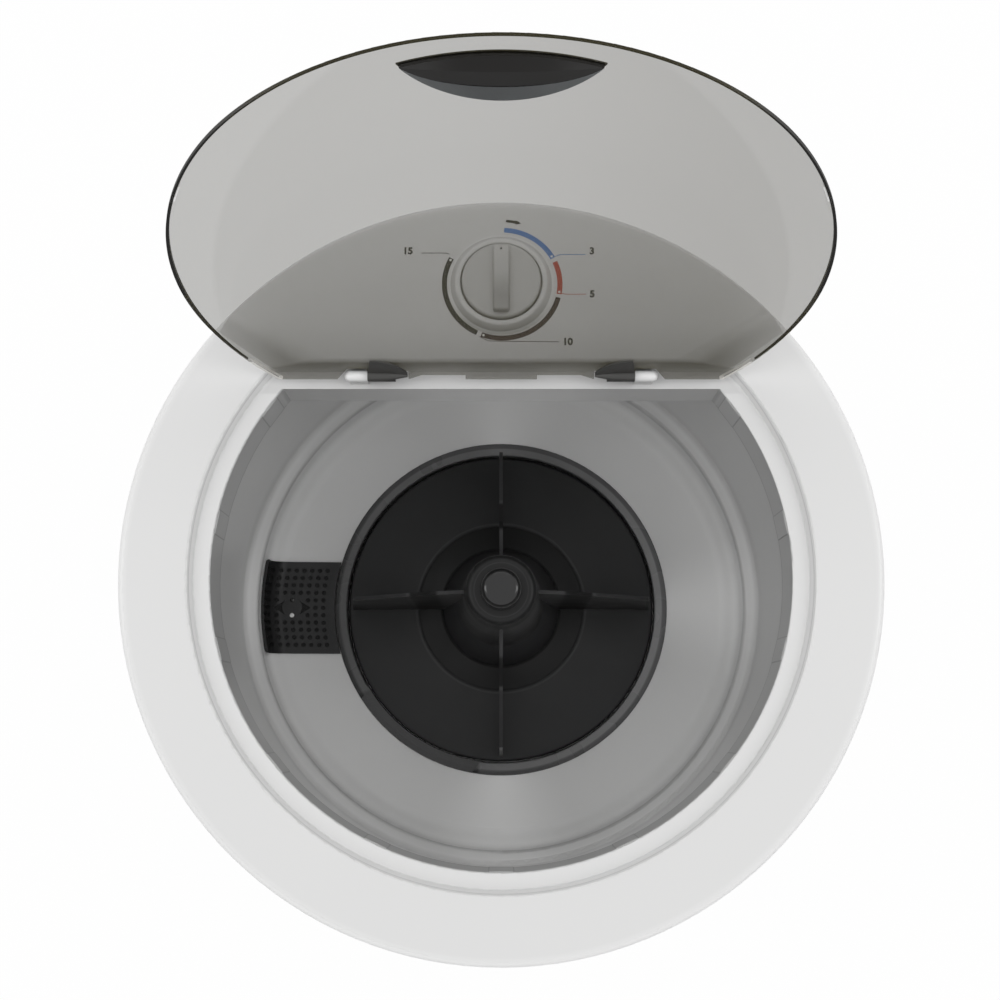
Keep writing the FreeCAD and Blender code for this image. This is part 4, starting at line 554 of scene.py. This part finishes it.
net_finish, net_tree, net_shader, net_place = new_finish("filter_net", (0.004, 0.004, 0.0042), 0.6)
threads = net_tree.nodes.new("ShaderNodeTexChecker")
threads.inputs["Scale"].default_value = 2500.0
net_tree.links.new(net_place, threads.inputs["Vector"])
raise_grain(net_tree, net_shader, threads.outputs["Fac"], 0.0001)
tint(net_tree, net_shader, threads.outputs["Fac"], (0.003, 0.003, 0.0032), (0.006, 0.006, 0.0063))
skin("filter_gauze", gauze_grid(gauze_half, 25), "filter", net_finish)

peg_x, peg_y, peg_radius = -0.1695, 0.0062, 0.0018


def peg_grid(y):
    """Low dome: a quarter circle of heights over a short stem, turned about an upright axis."""
    rise = np.array([-0.0012, 0.0, 0.0, 0.0003, 0.0005, 0.0006])[:, None]
    reach = np.array([0.8, 0.8, 1.0, 0.95, 0.6, 0.05])[:, None] * peg_radius
    turn = np.linspace(0, 2 * math.pi, 20, endpoint=False)
    face = tub_floor + plate_face / math.cos(floor_slope) + (-peg_x - well_edge) * math.tan(floor_slope)
    return np.stack(np.broadcast_arrays(peg_x + reach * np.cos(turn), y + reach * np.sin(turn),
                                        face + rise), axis=-1)


white_peg = moulding("white_peg", (0.80, 0.80, 0.79), rough=0.3, grain=0.001, depth=0.00001)
skin("peg_front", peg_grid(-peg_y), "filter", white_peg)
skin("peg_rear", peg_grid(peg_y), "filter", cap_gloss)


# Knob. Pale grey moulding pressed on the timer's spindle; its grip bar is painted darker
# towards its lower end and lighter at its upper end, as painted shade and light.
knob_moulding = moulding("knob_moulding", (0.56, 0.56, 0.555),
                         rough=0.34, grain=0.002, depth=0.00003, drift=0.02, patch=0.03)
knob_tree, knob_shader, knob_place = coordinates(knob_moulding)
_, _, grip_up, grip_off = dial_axes(knob_tree, knob_place)
# Painted shade and light on the grip bar: darker towards its lower end, lighter at its upper end.
painted_grip_shade_and_light = graded(knob_tree, grip_up, [
    (-0.0235, 0.78), (-0.0130, 0.66), (-0.0020, 0.86), (0.0040, 1.0), (0.0235, 1.1)])
shaded(knob_tree, knob_shader, painted_grip_shade_and_light, beyond(knob_tree, grip_off, 0.0084, 0.0006))
dress(knob_moulding, "knob")


# Dial print. Ink screened on the sloping deck round the knob: four coloured bands for
# the washing times, a dot at the end of each, an arrow for the way to turn, numbers.
dial_right = np.array([1.0, 0.0, 0.0])
dial_up = np.cross(deck_normal, dial_right)
ink_thick = 0.00012


def on_dial(across, up, lift):
    """Points of the deck: so far across, so far up the slope from the knob's axis, lifted off it."""
    across, up, lift = np.broadcast_arrays(across, up, lift)
    return (dial_centre + across[..., None] * dial_right + up[..., None] * dial_up
            + lift[..., None] * deck_normal)


def ink_stroke(name, across, up, half_width, finish):
    """Flat line of ink: at each point of a path a rectangle of its half width, square to the
    path, from just under the deck's face to the ink's thickness."""
    path = np.stack([across, up], axis=-1)
    along = np.gradient(path, axis=0)
    along /= np.linalg.norm(along, axis=1, keepdims=True)
    side = np.stack([-along[:, 1], along[:, 0]], axis=-1) * np.reshape(half_width, (-1, 1))
    left, right = path + side, path - side
    rim = np.stack([left, right, right, left], axis=1)
    lift = np.broadcast_to(np.array([1.0, 1.0, -1.0, -1.0]) * ink_thick, rim.shape[:2])
    return skin(name, on_dial(rim[..., 0], rim[..., 1], lift), "cabinet", finish)


def ink_disc(across, up, size, count, top, bottom):
    """Flat disc of ink as a grid: a small and a full ring on its top face, the same two on its
    bottom face, each turned about the deck's normal."""
    turn = np.linspace(0, 2 * math.pi, count, endpoint=False)
    radii = np.array([0.05, 1.0, 1.0, 0.05])[:, None] * size
    lifts = np.array([top, top, bottom, bottom])[:, None]
    return on_dial(across + radii * np.cos(turn), up - radii * np.sin(turn), lifts)


def ink(name, shade):
    """Screen ink: a flat shade broken a little by the screen's weave, half glossy."""
    finish, tree, shader, place = new_finish(name, shade, 0.4)
    weave = cloud(tree, place, 0.0004, 1.0)
    tint(tree, shader, weave, [c * 0.9 for c in shade], [c * 1.08 for c in shade])
    return finish


band_inner, band_outer = 0.0356, 0.0389
band_shift = 0.0006
dot_radius, dot_back = 0.0008, 2.2
ink_bands = [
    ("band_short", 2.0, 61.6, (0.085, 0.20, 0.47)),
    ("band_normal", 66.0, 101.0, (0.42, 0.05, 0.035)),
    ("band_long", 104.6, 201.0, (0.030, 0.009, 0.013)),
    ("band_longest", 205.6, 298.3, (0.012, 0.012, 0.011)),
]
white_ink = ink("white_ink", (0.72, 0.72, 0.71))
band_middle = (band_inner + band_outer) / 2
for name, start, end, shade in ink_bands:
    shade_ink = ink(name + "_ink", shade)
    sweep = np.radians(np.linspace(start, end, 48))
    ink_stroke(name, band_shift + band_middle * np.sin(sweep), band_middle * np.cos(sweep),
               (band_outer - band_inner) / 2, shade_ink)
    dot_at = math.radians(end - dot_back)
    dot = ink_disc(band_shift + band_middle * math.sin(dot_at), band_middle * math.cos(dot_at),
                   dot_radius, 24, 2 * ink_thick, ink_thick / 2)
    skin(name + "_dot", dot, "cabinet", white_ink)

black_ink = bpy.data.materials["band_longest_ink"]
arrow_radius, arrow_steps, arrow_stem = 0.0438, 16, 10
arrow_sweep = np.radians(np.linspace(4.0, 17.0, arrow_steps))
arrow_half = np.where(np.arange(arrow_steps) < arrow_stem, 0.0009,
                      np.linspace(0.0085, 0.0001, arrow_steps) * 0.5)
ink_stroke("turn_arrow", arrow_radius * np.sin(arrow_sweep), arrow_radius * np.cos(arrow_sweep),
           arrow_half, black_ink)

leader_half = 0.0002
leaders = [
    ("leader_short", "band_short_ink", [(0.0350, 0.0190), (0.0385, 0.0203), (0.0545, 0.0203)]),
    ("leader_normal", "band_normal_ink", [(0.0383, -0.0064), (0.0415, -0.0072), (0.0545, -0.0072)]),
    ("leader_long", "band_long_ink", [(-0.0140, -0.0362), (-0.0080, -0.0392), (0.0370, -0.0398)]),
    ("leader_longest", "band_longest_ink", [(-0.0335, 0.0206), (-0.0360, 0.0213), (-0.0520, 0.0213)]),
]
for name, shade_name, corners in leaders:
    corners = np.array(corners)
    steps = np.linspace(0, len(corners) - 1, 24)
    ink_stroke(name, np.interp(steps, np.arange(len(corners)), corners[:, 0]),
               np.interp(steps, np.arange(len(corners)), corners[:, 1]), leader_half,
               bpy.data.materials[shade_name])

mark_up, mark_radius, grip_top = 0.0195, 0.0007, 0.012
mark = ink_disc(0.0, mark_up, mark_radius, 20, grip_top + ink_thick, grip_top - 2 * ink_thick)
skin("pointer_mark", mark, "knob", black_ink)

dial_turn = Matrix((dial_right, dial_up, deck_normal)).transposed().to_4x4()
digit_size, digit_bold, weld_gap = 0.0064, 0.00028, 0.000001
numbers = [("3", 0.0588, 0.0226), ("5", 0.0586, -0.0072), ("10", 0.0425, -0.0398),
           ("15", -0.0605, 0.0226)]
for digits, across, up in numbers:
    letters = bpy.data.curves.new("number_" + digits, "FONT")
    letters.body = digits
    letters.size = digit_size
    letters.offset = digit_bold
    letters.extrude = ink_thick
    letters.align_x = "CENTER"
    letters.align_y = "CENTER"
    writer = bpy.data.objects.new("writer_" + digits, letters)
    bpy.context.scene.collection.objects.link(writer)
    bpy.context.view_layer.update()
    mesh = bpy.data.meshes.new_from_object(writer.evaluated_get(bpy.context.evaluated_depsgraph_get()))
    bpy.data.objects.remove(writer)
    welded = bmesh.new()
    welded.from_mesh(mesh)
    bmesh.ops.remove_doubles(welded, verts=welded.verts, dist=weld_gap)
    welded.to_mesh(mesh)
    welded.free()
    spot = Vector(on_dial(across, up, 0.0))
    mesh.transform(Matrix.Translation(spot) @ dial_turn)
    placed("number_" + digits, mesh, "cabinet", black_ink)


# Lid. A flat round panel of clear smoked acrylic, cut from sheet; the dark finger cup is
# let into it, two clear feet and two dark knuckles are glued under it. Its cut edge looks
# darker than its faces, because there the light has gone a long way through the sheet.
lid_joint = next(joint for joint in frame["joints"] if joint["name"] == "lid_hinge")
lid_lean = math.radians(68.8)
lid_radius = 0.1935
bead_proud, bead_sunk, bead_front, bead_back = 0.00016, 0.00035, 0.00056, 0.00206
foot_middle, foot_half, foot_face = 0.0662, 0.0066, 0.002125
strip_outer, strip_inner, strip_end = 0.0004, 0.00255, -0.108
grip_middle, grip_front, grip_half, grip_low = 0.0254, 0.15275, 0.0522, 0.1525
lid_axis = Vector((0.0, math.cos(lid_lean), math.sin(lid_lean)))
lid_centre = Vector(lid_joint["pos_m"]) + lid_joint["pos_m"][1] * lid_axis


def sheet_axes(tree, place):
    """Distance from the sheet's centre, then across, up the leaning sheet and under it."""
    turn = tree.nodes.new("ShaderNodeMapping")
    turn.inputs["Rotation"].default_value = (-lid_lean, 0.0, 0.0)
    turn.inputs["Location"].default_value = -(Matrix.Rotation(-lid_lean, 3, "X") @ lid_centre)
    tree.links.new(place, turn.inputs["Vector"])
    return from_machine_axis(tree, turn.outputs["Vector"])


smoke, smoke_tree, smoke_shader, smoke_place = new_finish("smoke_acrylic", (0.066, 0.058, 0.014), 0.08)
smoke_shader.inputs["IOR"].default_value = 1.49
smoke_shader.inputs["Specular IOR Level"].default_value = 0.25
from_centre, across, along, under = sheet_axes(smoke_tree, smoke_place)
inward = joined(smoke_tree, "SUBTRACT", lid_radius, from_centre)
to_side = apart(smoke_tree, across, 0.0)

haze = cloud(smoke_tree, smoke_place, 0.12)
smoke_tree.links.new(between(smoke_tree, haze, 0.06, 0.11), smoke_shader.inputs["Roughness"])
faces = faded(smoke_tree, between(smoke_tree, haze, 0.0, 1.0),
              (0.066, 0.057, 0.018), (0.073, 0.062, 0.022))
# A painted highlight: a pale line just inside the sheet's border, made a little more opaque.
strip = times(smoke_tree, beyond(smoke_tree, inward, strip_outer, 0.0001),
              short_of(smoke_tree, inward, strip_inner, 0.00015),
              short_of(smoke_tree, along, strip_end, 0.0005))
smoke_tree.links.new(faded(smoke_tree, strip, faces, (0.95, 0.93, 0.89)), smoke_shader.inputs["Base Color"])

over_foot = times(smoke_tree, short_of(smoke_tree, inward, 0.0025, 0.0001),
                  short_of(smoke_tree, apart(smoke_tree, along, foot_middle), foot_half, 0.0003),
                  short_of(smoke_tree, under, 0.0, 0.0003))
# The sheet's opacity: a little more towards the right, a little less beyond an arc at each side, more over
# each foot and on the pale line.
arc = distance(smoke_tree, joined(smoke_tree, "ADD", to_side, 0.137), joined(smoke_tree, "ADD", along, 0.045))
depth = joined(smoke_tree, "ADD", ramp(smoke_tree, across, -0.05, 0.17, 0.323, 0.376),
               ramp(smoke_tree, arc, 0.306, 0.311, 0.0, -0.022))
depth = joined(smoke_tree, "ADD", depth, times(smoke_tree, over_foot, 0.2))
depth = joined(smoke_tree, "ADD", depth, times(smoke_tree, strip, 0.32))

from_eye = distance(smoke_tree, across, joined(smoke_tree, "SUBTRACT", along, grip_middle))
past_eye = joined(smoke_tree, "SUBTRACT", from_eye, ramp(smoke_tree, under, -0.0003, 0.0018, 0.1539, 0.1567))
by_eye = times(smoke_tree, beyond(smoke_tree, from_eye, grip_front, 0.00015),
               short_of(smoke_tree, past_eye, 0.0, 0.0002),
               short_of(smoke_tree, to_side, grip_half, 0.0004),
               beyond(smoke_tree, along, grip_low, 0.0025))
foot = beyond(smoke_tree, under, foot_face, 0.000075)
glued = times(smoke_tree, joined(smoke_tree, "MAXIMUM", foot, by_eye), 0.95)
smoke_tree.links.new(times(smoke_tree, depth, joined(smoke_tree, "SUBTRACT", 1.0, glued)),
                     smoke_shader.inputs["Alpha"])
dress(smoke, "lid_panel")


def lid_points(across, along, under):
    """Points of the open lid from the sheet's own axes, counted from its centre."""
    rise, reach = math.sin(lid_lean), math.cos(lid_lean)
    return np.stack(np.broadcast_arrays(
        across + lid_centre.x, lid_centre.y + along * reach - under * rise,
        lid_centre.z + along * rise + under * reach), axis=-1)


def edge_grid(columns):
    """Bead that wraps the sheet's border: a rectangle a hair larger than the sheet's thickness,
    swept round the arc; it is broad at the sides, narrower towards the hinge, and sunk in the
    sheet at the top."""
    turn = np.radians(np.linspace(-33.7, 213.7, columns))[:, None]
    height = lid_radius * np.sin(turn)
    broad = np.interp(height, [-0.108, -0.09, -0.02, 0.05, 0.17, 0.19],
                      [0.0007, 0.0011, 0.0020, 0.0018, 0.0008, 0.0006])
    sunk = np.interp(height, [0.12, 0.17], [0.0, bead_sunk])
    outer = lid_radius + bead_proud - 1.3 * sunk
    radius = outer - np.array([1.0, 0.0, 0.0, 1.0]) * broad
    inner_face = np.interp(height, [-0.108, -0.03], [0.0006, bead_back])
    under = np.where([1, 1, 0, 0], inner_face - sunk, sunk - bead_front)
    return lid_points(radius * np.cos(turn), radius * np.sin(turn), under)


# The dark bead laid round the border is painted shade for that dark look of the cut edge; it is painted
# lighter at the top of its arc.
edge_bead, bead_tree, bead_shader, bead_place = new_finish("edge_bead", (0.012, 0.0115, 0.0105), 0.45)
bead_shader.inputs["Specular IOR Level"].default_value = 0.1
bead_radius, _, bead_up, _ = sheet_axes(bead_tree, bead_place)
painted_bead_light = times(bead_tree, ramp(bead_tree, bead_up, 0.08, 0.165, 0.0, 1.0),
                 beyond(bead_tree, bead_radius, lid_radius - 0.0002, 0.0001))
bead_haze = between(bead_tree, cloud(bead_tree, bead_place, 0.004), 0.0, 1.0)
bead_dark = faded(bead_tree, bead_haze, (0.011, 0.0105, 0.0095), (0.014, 0.0133, 0.012))
bead_tree.links.new(faded(bead_tree, painted_bead_light, bead_dark, (0.075, 0.072, 0.066)),
                    bead_shader.inputs["Base Color"])
skin("lid_edge", edge_grid(193), "lid", edge_bead)

dark_polish = moulding("dark_polish", (0.008, 0.0072, 0.0066),
                       rough=0.22, grain=0.003, depth=0.00002, drift=0.08, patch=0.03, spread=0.04)
dark_polish.node_tree.nodes["Principled BSDF"].inputs["Specular IOR Level"].default_value = 0.22
dress(dark_polish, "lid_handle")
dark_satin = moulding("dark_satin", (0.041, 0.040, 0.038),
                      rough=0.34, grain=0.002, depth=0.00003, drift=0.08, patch=0.02, spread=0.05)
dress(dark_satin, "hinge_knuckle_left", "hinge_knuckle_right")


# Light on the finger cup's wall. A slate-grey strip laid on the hinge side of the finger cup,
# under the lid, is painted light where the cup's dark wall catches light: it starts at the
# eye's outline and ends short of the cup's floor.
eye_half, eye_arc, eye_arc_centre = 0.052, 0.06641, -0.21071
lid_under_z, cup_deep, cup_run = 0.760, 0.007, 0.0196


def opened(x, y, z):
    """Points of the closed lid carried to the open lid: the distance from the hinge goes up the
    leaning sheet, the height over the hinge goes out behind it."""
    hinge_y, hinge_z = lid_joint["pos_m"][1:]
    reach, over = hinge_y - y, z - hinge_z
    return np.stack(np.broadcast_arrays(
        x, hinge_y + reach * math.cos(lid_lean) + over * math.sin(lid_lean),
        hinge_z + reach * math.sin(lid_lean) - over * math.cos(lid_lean)), axis=-1)


def cup_light_grid(columns, rows):
    """Thin closed strip on the cup's slanted side: across runs along the eye's arc, and the way
    down the slope ends short of the keel, a flat circle of depths; two skins off the slope
    make each ring."""
    x = np.linspace(-0.975, 0.975, columns)[:, None] * eye_half
    sweep = (eye_half ** 2 + cup_deep ** 2) / (2 * cup_deep)
    keel = cup_deep - sweep + np.sqrt(sweep ** 2 - x ** 2)
    ways = np.concatenate([np.linspace(0.03, 0.93, rows), np.linspace(0.93, 0.03, rows)])
    off = np.concatenate([np.full(rows, -0.0005), np.full(rows, 0.00015)])
    down = ways * keel * cup_run / cup_deep
    length = math.hypot(cup_run, cup_deep)
    y = eye_arc_centre + np.sqrt(eye_arc ** 2 - x ** 2) - down + off * cup_deep / length
    z = lid_under_z - down * cup_deep / cup_run - off * cup_run / length
    return opened(x, y, z)


# Painted light: a pale slate strip on the cup's dark wall.
slate_liner = moulding("slate_liner", (0.115, 0.123, 0.128),
                       rough=0.38, grain=0.002, depth=0.00002, drift=0.06, patch=0.03, spread=0.05)
skin("cup_light_strip", cup_light_grid(49, 6), "lid", slate_liner)


# Studio. A pale floor, a white surround, an overhead dome of soft light, two side boxes
# and one behind; the camera looks down at the open machine from just in front of its axis.
scene = bpy.context.scene
scene.view_settings.view_transform = "Standard"


def seen_white(tree):
    """1 for rays that show the surround: straight from the camera, mirrored or let through."""
    path = tree.nodes.new("ShaderNodeLightPath")
    seen = joined(tree, "MAXIMUM", path.outputs["Is Camera Ray"], path.outputs["Is Glossy Ray"])
    return joined(tree, "MAXIMUM", seen, path.outputs["Is Transmission Ray"])


floor_mesh = bpy.data.meshes.new("floor")
floor_half = 6.0
floor_corners = [(-floor_half, -floor_half, 0), (floor_half, -floor_half, 0),
                 (floor_half, floor_half, 0), (-floor_half, floor_half, 0)]
floor_mesh.from_pydata(floor_corners, [], [(0, 1, 2, 3)])
floor = bpy.data.objects.new("floor", floor_mesh)
scene.collection.objects.link(floor)
pale = bpy.data.materials.new("pale_floor")
pale.use_nodes = True
pale_tree = pale.node_tree
pale_shader = pale_tree.nodes["Principled BSDF"]
pale_shader.inputs["Base Color"].default_value = (0.8, 0.8, 0.8, 1.0)
pale_shader.inputs["Roughness"].default_value = 0.9
glow = pale_tree.nodes.new("ShaderNodeEmission")
mix = pale_tree.nodes.new("ShaderNodeMixShader")
pale_tree.links.new(times(pale_tree, seen_white(pale_tree), 0.97), mix.inputs["Fac"])
pale_tree.links.new(pale_shader.outputs["BSDF"], mix.inputs[1])
pale_tree.links.new(glow.outputs["Emission"], mix.inputs[2])
pale_tree.links.new(mix.outputs["Shader"], pale_tree.nodes["Material Output"].inputs["Surface"])
floor_mesh.materials.append(pale)

world = bpy.data.worlds.new("studio")
scene.world = world
world.use_nodes = True
sky_tree = world.node_tree
sky = sky_tree.nodes["Background"]
sky.inputs["Color"].default_value = (1.0, 1.0, 1.0, 1.0)
direction = sky_tree.nodes.new("ShaderNodeTexCoord").outputs["Generated"]
upward = sky_tree.nodes.new("ShaderNodeSeparateXYZ")
sky_tree.links.new(direction, upward.inputs["Vector"])
dome_start, dome_end, dome_low, dome_high = 0.35, 0.98, 0.165, 1.58
dome = ramp(sky_tree, upward.outputs["Z"], dome_start, dome_end, dome_low, dome_high)
level = sky_tree.nodes.new("ShaderNodeMix")
level.inputs["B"].default_value = 1.0
sky_tree.links.new(seen_white(sky_tree), level.inputs["Factor"])
sky_tree.links.new(dome, level.inputs["A"])
sky_tree.links.new(level.outputs["Result"], sky.inputs["Strength"])


def soft_box(name, wide, tall, watts, place, target):
    """Rectangular lamp at a place, turned towards a target."""
    lamp = bpy.data.lights.new(name, "AREA")
    lamp.shape = "RECTANGLE"
    lamp.size = wide
    lamp.size_y = tall
    lamp.energy = watts
    box = bpy.data.objects.new(name, lamp)
    scene.collection.objects.link(box)
    box.location = place
    aim = Vector(target) - Vector(place)
    box.rotation_euler = aim.to_track_quat("-Z", "Y").to_euler()


soft_box("box_left", 0.5, 1.4, 6.0, (-1.5, 0.1, 2.7), (0.0, 0.0, 0.6))
soft_box("box_right", 0.5, 1.4, 6.0, (1.5, 0.1, 2.7), (0.0, 0.0, 0.6))
soft_box("box_back", 1.6, 0.6, 4.0, (0.0, 1.5, 3.0), (0.0, -0.1, 0.6))

camera_data = bpy.data.cameras.new("camera")
camera_data.sensor_width = 36.0
camera_data.lens = 67.93
camera = bpy.data.objects.new("camera", camera_data)
scene.collection.objects.link(camera)
camera.location = (-0.0008, -0.0946, 1.960)
camera.rotation_euler = (math.radians(6.80), 0.0, 0.0)
scene.camera = camera
